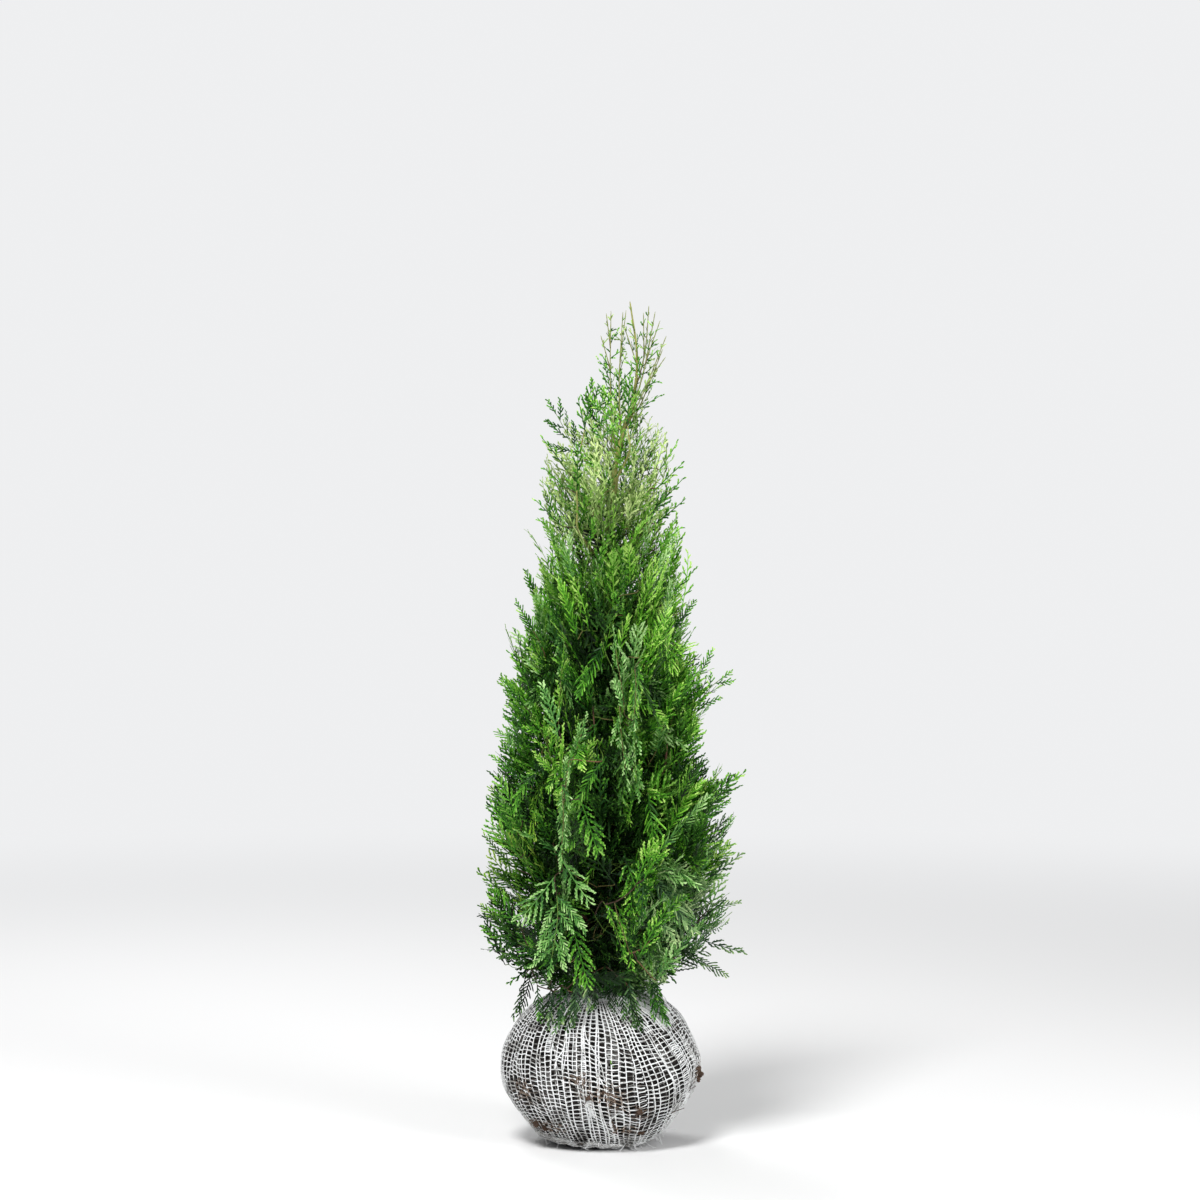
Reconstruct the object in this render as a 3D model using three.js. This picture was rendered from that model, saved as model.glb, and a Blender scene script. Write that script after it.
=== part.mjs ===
// A young columnar conifer, lifted from the nursery with its root ball in an open-weave net.
// Millimetres, +Z up. The origin is the middle of the flat foot that the root ball stands on.
// The trunk runs whole from the top of the ball to its tip. Boughs leave it in five whorls, and
// each bough carries one upright plume of foliage. Thin leading shoots stand above the plumes.
import * as THREE from "three";
import { mergeVertices } from "three/addons/utils/BufferGeometryUtils.js";

// ---- Driving dimensions ----
const CLEARANCE = 0.4; // between pieces that touch
const BALL = {
  height: 192, // foot to the crown of the ball
  waist: 124, // largest radius
  foot: 50, // radius of the flat underside
  seat: 17, // radius of the flat on top, where the trunk stands
  lump: 0.022, // unevenness, as a share of the radius
  shoulder: 72, // radius where the skirt of foliage starts to overhang it
  sides: 26,
  steps: 15,
};
const NET = {
  thickness: 2.2,
  slack: 1.2, // between the ball and the net
  hem: 5, // height of its lower edge above the foot
  ruffHeight: 17, // the gathered edge round the trunk
  ruffRadius: 24,
};
const TRUNK = {
  collar: 10.5, // radius at the flat cut, with the root flare
  shaft: 7.2, // radius above the flare
  flareShare: 0.035, // share of the length that the flare takes
  taper: 0.85, // below 1, it thins faster low down
  tip: 0.9,
  sides: 10,
  steps: 34,
};
const CROWN = {
  axisX: 10, // the crown stands a little to one side of its ball
  topX: 38, // and its top further, with the leading shoots
  leanFrom: 870, // the heights between which it leans over
  leanTo: 1000,
  unevenness: 0.1,
  massGap: 1.3, // half of the gap between neighbouring plumes
  squash: 0.42, // heights count this much when the space is shared out between plumes
  overlap: 1.32, // a plume's width before it is cut, against its share of the whorl
  overhang: 0.66, // how steeply the skirt hangs over the ball's shoulder
  entry: 0.4, // share of a plume's height where its bough enters
  sides: 10, // even, so that one corner faces the trunk
  rings: 10, // entry falls on one of them
};
const PLUME = {
  bulge: 0.72, // below 1, a plume is widest under its middle
  blunt: 0.85, // below 1, its ends are blunter
  leanOut: 0.93, // its tip stands this far out to the crown's edge
  inward: 1.5, // it is this much too deep before the trunk's space is cut out of it
  least: 8, // least half-depth
  lowShift: 12, // how far its foot and tip stray up or down
  highShift: 20,
  turnShift: 0.09, // and how far it strays round the trunk, in radians
};
const BOUGH = { sides: 6, steps: 5, endShare: 0.62, kneeRise: 0.38 };
const SHOOT = { root: 1.7, tip: 0.7, sides: 5, steps: 6 };

// Half-width of the crown by height: skirt, shoulder, waist and top.
const CROWN_WIDTH = new THREE.CatmullRomCurve3(
  [
    [88, 160],
    [120, 198],
    [150, 250],
    [171, 330],
    [168, 430],
    [152, 540],
    [128, 650],
    [108, 755],
    [95, 830],
    [77, 905],
    [52, 955],
    [32, 1002],
  ].map(([radius, height]) => new THREE.Vector3(radius, 0, height)),
);

// The trunk's own line: almost upright, then leaning over to the leading shoot.
const TRUNK_LINE = new THREE.CatmullRomCurve3(
  [
    [0, 0, BALL.height + CLEARANCE],
    [4, 2, 370],
    [6, -2, 560],
    [12, 2, 700],
    [15, -2, 815],
    [24, 0, 885],
    [42, 3, 945],
    [47, 2, 1000],
    [38, -2, 1069],
  ].map((p) => new THREE.Vector3(...p)),
);

// Whorls of boughs and plumes, from the foot up. turn is the first plume's bearing in degrees from +X.
const WHORLS = [
  { name: "skirt", count: 6, turn: 0, low: 160, high: 462, core: 27, rise: 62, thick: 3.2 },
  { name: "lower", count: 6, turn: 28, low: 318, high: 640, core: 24, rise: 70, thick: 2.9 },
  { name: "middle", count: 5, turn: 12, low: 498, high: 775, core: 19, rise: 62, thick: 2.5 },
  { name: "upper", count: 4, turn: 50, low: 640, high: 902, core: 14, rise: 50, thick: 2.0 },
  { name: "crest", count: 3, turn: 185, low: 778, high: 988, core: 9.5, rise: 38, thick: 1.5 },
];

// Leading shoots: the height where each leaves the trunk, its bearing there, and its tip.
const SHOOTS = [
  { leave: 880, bearing: 180, tip: [14, -4, 1059] },
  { leave: 902, bearing: 215, tip: [29, -8, 1058] },
  { leave: 968, bearing: 20, tip: [62, 4, 1066] },
  { leave: 930, bearing: 320, tip: [70, -10, 1058] },
  { leave: 910, bearing: 305, tip: [84, -14, 1027] },
  { leave: 896, bearing: 40, tip: [80, 18, 1011] },
];

const MATERIALS = {
  soil: new THREE.MeshStandardMaterial({ color: 0x2b2622, roughness: 0.95, metalness: 0 }),
  net: new THREE.MeshStandardMaterial({ color: 0xe9e9e6, roughness: 0.6, metalness: 0 }),
  bark: new THREE.MeshStandardMaterial({ color: 0x5f4433, roughness: 0.9, metalness: 0 }),
  shoot: new THREE.MeshStandardMaterial({ color: 0x93a63f, roughness: 0.7, metalness: 0 }),
  foliage: new THREE.MeshStandardMaterial({ color: 0x3f7d22, roughness: 0.75, metalness: 0 }),
};

// ---- Helpers ----
const BISECTIONS = 24; // halvings when a height is looked up on a curve
const UP = new THREE.Vector3(0, 0, 1);
const radians = THREE.MathUtils.degToRad;
const mix = THREE.MathUtils.lerp;
const ease = THREE.MathUtils.smoothstep;

/** A horizontal unit vector at this bearing from +X, in radians. */
const outwardAt = (bearing) => new THREE.Vector3(Math.cos(bearing), Math.sin(bearing), 0);

/** A geometry with each vertex moved by place(position), which returns the new position. */
function reshaped(geometry, place) {
  geometry.deleteAttribute("normal");
  geometry.deleteAttribute("uv");
  const made = mergeVertices(geometry);
  const at = made.getAttribute("position");
  const point = new THREE.Vector3();
  for (let i = 0; i < at.count; i++) {
    const moved = place(point.fromBufferAttribute(at, i).clone());
    at.setXYZ(i, moved.x, moved.y, moved.z);
  }
  made.computeVertexNormals();
  return made;
}

function piece(name, geometry, material) {
  const mesh = new THREE.Mesh(geometry, material);
  mesh.name = name;
  return mesh;
}

/** The share of a rising curve's length parameter at which it passes a height. */
function shareAtHeight(curve, height) {
  let low = 0;
  let high = 1;
  for (let i = 0; i < BISECTIONS; i++) {
    const middle = (low + high) / 2;
    if (curve.getPoint(middle).z < height) low = middle;
    else high = middle;
  }
  return low;
}

/** The crown's half-width at a height. */
const crownReach = (height) => CROWN_WIDTH.getPoint(shareAtHeight(CROWN_WIDTH, height)).x;

/** How far the crown's middle stands towards +X at a height. */
const crownMiddle = (height) =>
  mix(CROWN.axisX, CROWN.topX, ease(height, CROWN.leanFrom, CROWN.leanTo));

/** Where the trunk's line passes a height, and its radius there. */
function trunkAt(height) {
  const share = shareAtHeight(TRUNK_LINE, height);
  return { point: TRUNK_LINE.getPoint(share), radius: trunkRadius(share) };
}

/** The trunk's radius at a share of its length, with the flare at its foot. */
function trunkRadius(share) {
  const flare = (TRUNK.collar - TRUNK.shaft) * (1 - ease(share, 0, TRUNK.flareShare));
  return mix(TRUNK.shaft, TRUNK.tip, Math.pow(share, TRUNK.taper)) + flare;
}

/**
 * A closed, tapering limb along a curve, from a capped cylinder. Its rings are radiusAt(share) wide
 * and stand square to facing(share). side is a direction across the limb that no ring turns from.
 */
function limb(line, radiusAt, facing, side, { sides, steps }) {
  const geometry = new THREE.CylinderGeometry(1, 1, 1, sides, steps);
  return reshaped(geometry, (p) => {
    const share = p.y + 0.5;
    const normal = facing(share);
    const across = side.clone().projectOnPlane(normal).normalize();
    const over = new THREE.Vector3().crossVectors(across, normal);
    const radius = radiusAt(share);
    return line
      .getPoint(share)
      .addScaledVector(across, p.x * radius)
      .addScaledVector(over, p.z * radius);
  });
}

// ---- Root ball and net ----

/** How far the ball's surface stands in or out at a bearing and height, as a factor on its radius. */
function lumps(bearing, height) {
  const level = (height / BALL.height) * Math.PI;
  const wave =
    Math.sin(2 * bearing + 0.7) +
    0.8 * Math.sin(3 * bearing - 1.1 + level) +
    0.6 * Math.sin(5 * bearing + 2.3 * level);
  return 1 + BALL.lump * wave * Math.sin(level);
}

/** The ball's outline from the foot up over the shoulder, as (radius, height), standing out by a margin. */
function ballOutline(margin, from) {
  const outline = new THREE.CatmullRomCurve3(
    [
      [BALL.foot, 0],
      [BALL.foot + 25, 13],
      [BALL.foot + 44, 33],
      [BALL.waist * 0.92, 60],
      [BALL.waist, 102],
      [BALL.waist * 0.87, 150],
      [BALL.waist * 0.6, 181],
      [BALL.seat + 16, BALL.height - 1],
      [BALL.seat, BALL.height],
    ].map(([radius, height]) => new THREE.Vector3(radius, 0, height)),
  );
  return outline
    .getPoints(BALL.steps)
    .map((p, i, all) => {
      const before = all[Math.max(i - 1, 0)];
      const after = all[Math.min(i + 1, all.length - 1)];
      const slope = new THREE.Vector3().subVectors(after, before).normalize();
      return new THREE.Vector2(p.x + slope.z * margin, p.z - slope.x * margin);
    })
    .filter((p) => p.y >= from);
}

/** A LatheGeometry about +Z with the ball's lumps. */
function lumpyLathe(outline) {
  const geometry = new THREE.LatheGeometry(outline, BALL.sides);
  return reshaped(geometry, (p) => {
    // Lathe turns about +Y: stand it up along +Z.
    const bearing = Math.atan2(p.x, -p.z);
    const factor = lumps(bearing, p.y);
    return new THREE.Vector3(p.x * factor, -p.z * factor, p.y);
  });
}

function rootBall() {
  const outline = ballOutline(0, 0);
  const closed = [new THREE.Vector2(0, 0), ...outline, new THREE.Vector2(0, BALL.height)];
  return piece("root_ball", lumpyLathe(closed), MATERIALS.soil);
}

function netWrap() {
  const layer = (margin) => ballOutline(margin, NET.hem).filter((p) => p.x > NET.ruffRadius + 2);
  const inner = layer(NET.slack);
  const outer = layer(NET.slack + NET.thickness);
  const top = BALL.height + NET.ruffHeight;
  const ruff = [
    new THREE.Vector2(NET.ruffRadius, BALL.height + NET.slack + NET.thickness),
    new THREE.Vector2(NET.ruffRadius - 4, top),
    new THREE.Vector2(NET.ruffRadius - 4 - NET.thickness, top),
    new THREE.Vector2(NET.ruffRadius - NET.thickness, BALL.height + NET.slack),
  ];
  const ring = [...outer, ...ruff, ...inner.reverse()];
  return piece("net_wrap", lumpyLathe([...ring, ring[0].clone()]), MATERIALS.net);
}

// ---- Trunk, boughs and shoots ----

function trunk() {
  const facing = (share) =>
    share < TRUNK.flareShare ? UP.clone() : TRUNK_LINE.getTangent(share).lerp(UP, 0.3).normalize();
  const side = new THREE.Vector3(1, 0, 0);
  return piece("trunk", limb(TRUNK_LINE, trunkRadius, facing, side, TRUNK), MATERIALS.bark);
}

/** A bough leaves the trunk at the whorl's height and climbs to its plume's inner face. */
function bough(plume) {
  const { whorl, outward, sideways } = plume;
  const start = trunkAt(plume.site.z - whorl.rise);
  const from = start.point.clone().addScaledVector(outward, start.radius + CLEARANCE);
  const end = outward.clone().multiplyScalar(plume.innerReach - CLEARANCE).setZ(plume.site.z);
  const knee = from.clone().lerp(end, 0.5).setZ(mix(from.z, end.z, BOUGH.kneeRise));
  const line = new THREE.CatmullRomCurve3([from, knee, end]);
  const radiusAt = (share) => mix(whorl.thick, whorl.thick * BOUGH.endShare, share);
  const facing = (share) =>
    outward.clone().lerp(line.getTangent(share), Math.sin(Math.PI * share)).normalize();
  const name = `bough_${whorl.name}_${plume.index + 1}`;
  return piece(name, limb(line, radiusAt, facing, sideways, BOUGH), MATERIALS.bark);
}

/** A leading shoot leaves the trunk's side and curves up to its own tip. */
function shoot({ leave, bearing, tip }, index) {
  const outward = outwardAt(radians(bearing));
  const start = trunkAt(leave);
  const from = start.point.clone().addScaledVector(outward, start.radius + CLEARANCE);
  const to = new THREE.Vector3(...tip);
  const knee = from.clone().lerp(to, 0.4).addScaledVector(outward, 4);
  const line = new THREE.CatmullRomCurve3([from, knee, to]);
  const radiusAt = (share) => mix(SHOOT.root, SHOOT.tip, share);
  const facing = (share) =>
    outward.clone().lerp(line.getTangent(share), ease(share, 0, 0.3)).normalize();
  const side = new THREE.Vector3().crossVectors(UP, outward);
  return piece(`shoot_${index + 1}`, limb(line, radiusAt, facing, side, SHOOT), MATERIALS.shoot);
}

// ---- Plumes of foliage ----

/** How wide a plume is at a share of its height: round below, pointed above. */
const plumeWidth = (share) =>
  Math.pow(Math.sin(Math.PI * Math.pow(share, PLUME.bulge)), PLUME.blunt);

/** The place, size and bearing of each plume of a whorl. */
function plumesOf(whorl, order) {
  return Array.from({ length: whorl.count }, (_, index) => {
    const seed = order * 7.3 + index * 2.9;
    const stray = PLUME.turnShift * Math.sin(seed);
    const outward = outwardAt(radians(whorl.turn + (360 / whorl.count) * index) + stray);
    const sideways = new THREE.Vector3().crossVectors(UP, outward);
    const low = whorl.low + PLUME.lowShift * Math.sin(seed * 1.7);
    const high = whorl.high + PLUME.highShift * Math.sin(seed * 2.3 + 1);
    const heights = [low, (low + high) / 2, high];
    const innerReach = Math.max(...heights.map((z) => trunkAt(z).point.dot(outward))) + whorl.core;
    const span = (share) => {
      const z = mix(low, high, share);
      const reach = crownReach(z) + crownMiddle(z) * outward.x;
      const middle = mix((innerReach + reach) / 2, reach * PLUME.leanOut, ease(share, 0.5, 1));
      const outer = Math.max(reach - middle, PLUME.least);
      return { z, middle, outer, inner: (middle - innerReach) * PLUME.inward };
    };
    const axis = (share) => {
      const { z, middle } = span(share);
      return outward.clone().multiplyScalar(middle).setZ(z);
    };
    const halfWidth = ((Math.PI * span(CROWN.entry).middle) / whorl.count) * CROWN.overlap;
    const site = axis(CROWN.entry);
    return { whorl, index, seed, outward, sideways, innerReach, span, axis, halfWidth, site };
  });
}

/** The flat faces that keep one plume off its neighbours, the trunk and the ball: normal . p <= limit. */
function wallsOf(plume, plumes) {
  const squash = (p) => new THREE.Vector3(p.x, p.y, p.z * CROWN.squash);
  const walls = plumes
    .filter((other) => other !== plume)
    .map((other) => {
      const a = squash(plume.site);
      const b = squash(other.site);
      const between = new THREE.Vector3().subVectors(b, a);
      const normal = new THREE.Vector3(between.x, between.y, between.z * CROWN.squash);
      const size = normal.length();
      const limit = between.dot(a.add(b).multiplyScalar(0.5));
      return { normal: normal.divideScalar(size), limit: limit / size - CROWN.massGap };
    });
  walls.push({ normal: plume.outward.clone().negate(), limit: -plume.innerReach });
  // The shoulder of the netted ball, as a slope that the skirt hangs over.
  const slope = plume.outward.clone().multiplyScalar(-CROWN.overhang).sub(UP).normalize();
  const brow = plume.outward.clone().multiplyScalar(BALL.shoulder).setZ(BALL.height + NET.hem);
  walls.push({ normal: slope, limit: slope.dot(brow) });
  walls.push({ normal: UP.clone().negate(), limit: -plume.whorl.low });
  return walls;
}

/** The furthest that a point may go from inside towards a target without passing a wall. */
function heldBack(inside, target, walls) {
  const way = new THREE.Vector3().subVectors(target, inside);
  const share = walls.reduce((least, { normal, limit }) => {
    const along = normal.dot(way);
    return along > 0 ? Math.min(least, (limit - normal.dot(inside)) / along) : least;
  }, 1);
  return inside.clone().addScaledVector(way, Math.max(share, 0));
}

function foliage(plume, plumes) {
  const walls = wallsOf(plume, plumes);
  const geometry = new THREE.SphereGeometry(1, CROWN.sides, CROWN.rings, Math.PI / 2);
  const made = reshaped(geometry, (p) => {
    const share = 1 - Math.acos(THREE.MathUtils.clamp(p.y, -1, 1)) / Math.PI;
    const round = Math.hypot(p.x, p.z);
    const turn = Math.atan2(p.z, p.x);
    const centre = plume.axis(share);
    if (round < 1e-6) return heldBack(plume.site, centre, walls);
    const wave =
      Math.sin(3 * turn + plume.seed + 5 * share) +
      0.8 * Math.sin(2 * turn - plume.seed * 1.3 + 11 * share);
    const size = (plumeWidth(share) * (1 + CROWN.unevenness * wave)) / round;
    const { outer, inner } = plume.span(share);
    const target = centre
      .clone()
      .addScaledVector(plume.sideways, p.x * size * plume.halfWidth)
      .addScaledVector(plume.outward, p.z * size * (p.z > 0 ? outer : inner));
    return heldBack(plume.site, target, walls);
  });
  return piece(`foliage_${plume.whorl.name}_${plume.index + 1}`, made, MATERIALS.foliage);
}

// ---- Assembly ----
const sapling = new THREE.Group();
const plumes = WHORLS.flatMap(plumesOf);
sapling.add(rootBall(), netWrap(), trunk());
sapling.add(...plumes.map(bough));
sapling.add(...SHOOTS.map(shoot));
sapling.add(...plumes.map((plume) => foliage(plume, plumes)));

export default sapling;
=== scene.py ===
"""Looks of a young columnar conifer and its netted root ball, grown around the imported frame."""

import logging
import math
from dataclasses import dataclass, field, fields
from enum import Enum

import bmesh
import bpy
import numpy as np
from mathutils import Matrix, Vector, noise
from mathutils.bvhtree import BVHTree


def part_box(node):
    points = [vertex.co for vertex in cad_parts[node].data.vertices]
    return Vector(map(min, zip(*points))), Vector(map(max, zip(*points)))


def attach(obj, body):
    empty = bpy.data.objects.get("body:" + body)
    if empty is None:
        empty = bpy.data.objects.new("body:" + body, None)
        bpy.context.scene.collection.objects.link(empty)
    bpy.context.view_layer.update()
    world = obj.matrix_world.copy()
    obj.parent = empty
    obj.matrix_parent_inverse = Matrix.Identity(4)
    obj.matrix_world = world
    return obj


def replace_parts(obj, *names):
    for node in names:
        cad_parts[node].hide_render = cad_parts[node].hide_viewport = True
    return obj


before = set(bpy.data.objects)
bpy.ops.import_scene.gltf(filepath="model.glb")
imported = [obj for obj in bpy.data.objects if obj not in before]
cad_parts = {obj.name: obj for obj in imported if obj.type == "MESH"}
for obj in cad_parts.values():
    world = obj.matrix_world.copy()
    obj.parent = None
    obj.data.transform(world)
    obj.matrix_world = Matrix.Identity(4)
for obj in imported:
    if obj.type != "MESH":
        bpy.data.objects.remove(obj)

Array = np.ndarray
Material = bpy.types.Material
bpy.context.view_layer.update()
LOG = logging.getLogger("sapling")
MM = 0.001
UP = np.array((0.0, 0.0, 1.0))
LEVEL = np.array((1.0, 1.0, 0.0))
PIECE_LIMIT = 185_000


# ---- Small vector helpers ----


def unit(v: Array) -> Array:
    """Vectors scaled to length one along their last axis."""
    return v / np.maximum(np.linalg.norm(v, axis=-1, keepdims=True), 1e-12)


def smoothstep(x: Array | float, low: float, high: float) -> Array | float:
    """A smooth rise from 0 at low to 1 at high."""
    t = np.clip((x - low) / (high - low), 0.0, 1.0)
    return t * t * (3 - 2 * t)


def turned(v: Array, axis: Array, angle: float) -> Array:
    """A vector turned about a unit axis by an angle in radians."""
    c, s = math.cos(angle), math.sin(angle)
    return v * c + np.cross(axis, v) * s + axis * np.dot(axis, v) * (1 - c)


def hermite(start: Array, end: Array, leave: Array, arrive: Array, count: int) -> Array:
    """Points of a smooth curve.

    Args:
        start: First point.
        end: Last point.
        leave: Tangent at the start, whose length sets how far it is followed.
        arrive: Tangent at the end.
        count: Number of points.

    Returns:
        An array of shape (count, 3).
    """
    t = np.linspace(0, 1, count)[:, None]
    a, b = 2 * t**3 - 3 * t**2 + 1, t**3 - 2 * t**2 + t
    c, d = -2 * t**3 + 3 * t**2, t**3 - t**2
    return a * start + b * leave + c * end + d * arrive


# ---- Meshes from arrays, for the many small things ----


@dataclass
class Heap:
    """Triangles gathered from many small shapes, to become one mesh."""

    vertices: list[Array] = field(default_factory=list)
    triangles: list[Array] = field(default_factory=list)
    finishes: list[Array] = field(default_factory=list)
    count: int = 0
    faces: int = 0

    def add(self, vertices: Array, triangles: Array, finishes: Array) -> None:
        """Adds one shape.

        Args:
            vertices: Its points, in metres.
            triangles: Its corners, counted from its own first point.
            finishes: The material index of each triangle.
        """
        self.vertices.append(vertices.astype(np.float32))
        self.triangles.append((triangles + self.count).astype(np.int32))
        self.finishes.append(finishes.astype(np.int32))
        self.count += len(vertices)
        self.faces += len(triangles)

    def take(self, other: "Heap") -> None:
        """Adds all of another heap.

        Args:
            other: The heap, which stays as it is.
        """
        for vertices, triangles, finishes in zip(other.vertices, other.triangles, other.finishes):
            self.vertices.append(vertices)
            self.triangles.append(triangles + self.count)
            self.finishes.append(finishes)
        self.count += other.count
        self.faces += other.faces

    def made(self, name: str, materials: list[Material], smooth: bool = False) -> bpy.types.Object:
        """The heap as one object at the origin.

        Args:
            name: The piece's name.
            materials: Materials in the order of the indices.
            smooth: True for round things.

        Returns:
            The new object, linked to the scene.
        """
        points = np.concatenate(self.vertices)
        corners = np.concatenate(self.triangles)
        mesh = bpy.data.meshes.new(name)
        mesh.vertices.add(len(points))
        mesh.vertices.foreach_set("co", points.ravel())
        mesh.loops.add(corners.size)
        mesh.loops.foreach_set("vertex_index", corners.ravel())
        mesh.polygons.add(len(corners))
        mesh.polygons.foreach_set("loop_start", np.arange(0, corners.size, 3, dtype=np.int32))
        for material in materials:
            mesh.materials.append(material)
        mesh.polygons.foreach_set("material_index", np.concatenate(self.finishes))
        mesh.polygons.foreach_set("use_smooth", np.full(len(corners), smooth))
        mesh.update(calc_edges=True)
        return linked(name, mesh)


def linked(name: str, data: bpy.types.ID) -> bpy.types.Object:
    """Puts a mesh, lamp or camera into the scene.

    Args:
        name: The object's name.
        data: What it shows.

    Returns:
        The new object.
    """
    piece = bpy.data.objects.new(name, data)
    bpy.context.scene.collection.objects.link(piece)
    return piece


def moulded(
    name: str, shape: bmesh.types.BMesh, material: Material, smooth: bool = True
) -> bpy.types.Object:
    """A shape as one object at the origin. The shape is freed.

    Args:
        name: The piece's name.
        shape: Its shape, in metres.
        material: Its one material.
        smooth: False for flat things.

    Returns:
        The new object, linked to the scene.
    """
    for face in shape.faces:
        face.smooth = smooth
    mesh = bpy.data.meshes.new(name)
    shape.to_mesh(mesh)
    shape.free()
    mesh.materials.append(material)
    return linked(name, mesh)


def walked_along(line: Array) -> Array:
    """Distances along a line from its first point to each of its points."""
    return np.concatenate([[0], np.cumsum(np.linalg.norm(np.diff(line, axis=0), axis=1))])


def between(at: Array | float, marks: Array, line: Array) -> Array:
    """Points of a line at places between its rising marks."""
    return np.stack([np.interp(at, marks, line[:, i]) for i in range(3)], -1)


def tubes(points: Array, radii: Array, sides: int, aside: Array, flat: float = 1.0) -> tuple[Array, Array]:
    """Closed tubes along many lines at once.

    Args:
        points: Lines, of shape (lines, steps, 3).
        radii: Half-width at each point, of shape (lines, steps).
        sides: Corners of the section.
        aside: A direction that is never along a line, or one for each point. A flat tube lies square to it.
        flat: Thickness as a share of the width.

    Returns:
        Vertices and triangles.
    """
    lines, steps, _ = points.shape
    along = unit(np.gradient(points, axis=1))
    first = unit(np.cross(along, np.broadcast_to(aside, points.shape)))
    second = np.cross(along, first) * flat
    turn = 2 * math.pi * np.arange(sides) / sides
    ring = first[:, :, None] * np.cos(turn)[:, None] + second[:, :, None] * np.sin(turn)[:, None]
    vertices = points[:, :, None] + ring * radii[:, :, None, None]
    index = np.arange(lines * steps * sides).reshape(lines, steps, sides)
    a, b = index[:, :-1], np.roll(index[:, :-1], -1, axis=2)
    c, d = index[:, 1:], np.roll(index[:, 1:], -1, axis=2)
    walls = np.stack([np.stack([a, b, d], -1), np.stack([a, d, c], -1)], 3)
    walls = walls.reshape(lines, -1, 3)
    fan = np.array([(0, i + 1, i) for i in range(1, sides - 1)])
    caps = np.concatenate([index[:, 0][:, fan], index[:, -1][:, fan[:, ::-1]]], 1)
    return vertices.reshape(-1, 3), np.concatenate([walls, caps], 1).reshape(-1, 3)


# ---- Finishes ----


@dataclass(frozen=True)
class PlainFinish:
    """One even colour, for small things that are dealt their colours piece by piece."""

    name: str
    colour: tuple[float, float, float]
    roughness: float = 0.5
    specular: float = 0.35

    def material(self) -> Material:
        """Makes the material, with plain values on its sockets.

        Returns:
            The material.
        """
        made = bpy.data.materials.new(self.name)
        made.use_nodes = True
        shader = made.node_tree.nodes["Principled BSDF"]
        shader.inputs["Base Color"].default_value = (*self.colour, 1)
        shader.inputs["Roughness"].default_value = self.roughness
        shader.inputs["Specular IOR Level"].default_value = self.specular
        made.diffuse_color = (*self.colour, 1)
        return made


def wired(tree: bpy.types.NodeTree, *links: tuple) -> None:
    """Links shader nodes.

    Args:
        tree: Their tree.
        links: For each, a node and its output, then a node and its input.
    """
    for source, output, target, entry in links:
        tree.links.new(source.outputs[output], target.inputs[entry])


def grain_group() -> bpy.types.ShaderNodeTree:
    """A shared node group: two noises, one stretched along Z, with their mix as a mask and a height.

    Returns:
        The group, with inputs Scale, Stretch and Blend, and outputs Mask and Height.
    """
    group = bpy.data.node_groups.new("grain", "ShaderNodeTree")
    for label, usual in (("Scale", 40.0), ("Stretch", 1.0), ("Blend", 0.5)):
        socket = group.interface.new_socket(name=label, in_out="INPUT", socket_type="NodeSocketFloat")
        socket.default_value = usual
    for label in ("Mask", "Height"):
        group.interface.new_socket(name=label, in_out="OUTPUT", socket_type="NodeSocketFloat")
    new = group.nodes.new
    inward, outward = new("NodeGroupInput"), new("NodeGroupOutput")
    place, combine = new("ShaderNodeTexCoord"), new("ShaderNodeCombineXYZ")
    scaled, more, mixed = new("ShaderNodeVectorMath"), new("ShaderNodeMath"), new("ShaderNodeMix")
    coarse, fine = new("ShaderNodeTexNoise"), new("ShaderNodeTexNoise")
    combine.inputs["X"].default_value = combine.inputs["Y"].default_value = 1
    scaled.operation = more.operation = "MULTIPLY"
    more.inputs[1].default_value = 4.3
    coarse.inputs["Detail"].default_value, fine.inputs["Detail"].default_value = 6, 3
    wired(
        group,
        (inward, "Stretch", combine, "Z"),
        (place, "Object", scaled, 0),
        (combine, "Vector", scaled, 1),
        (scaled, "Vector", coarse, "Vector"),
        (scaled, "Vector", fine, "Vector"),
        (inward, "Scale", coarse, "Scale"),
        (inward, "Scale", more, 0),
        (more, "Value", fine, "Scale"),
        (inward, "Blend", mixed, "Factor"),
        (coarse, "Fac", mixed, "A"),
        (fine, "Fac", mixed, "B"),
        (coarse, "Fac", outward, "Mask"),
        (mixed, "Result", outward, "Height"),
    )
    return group


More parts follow.
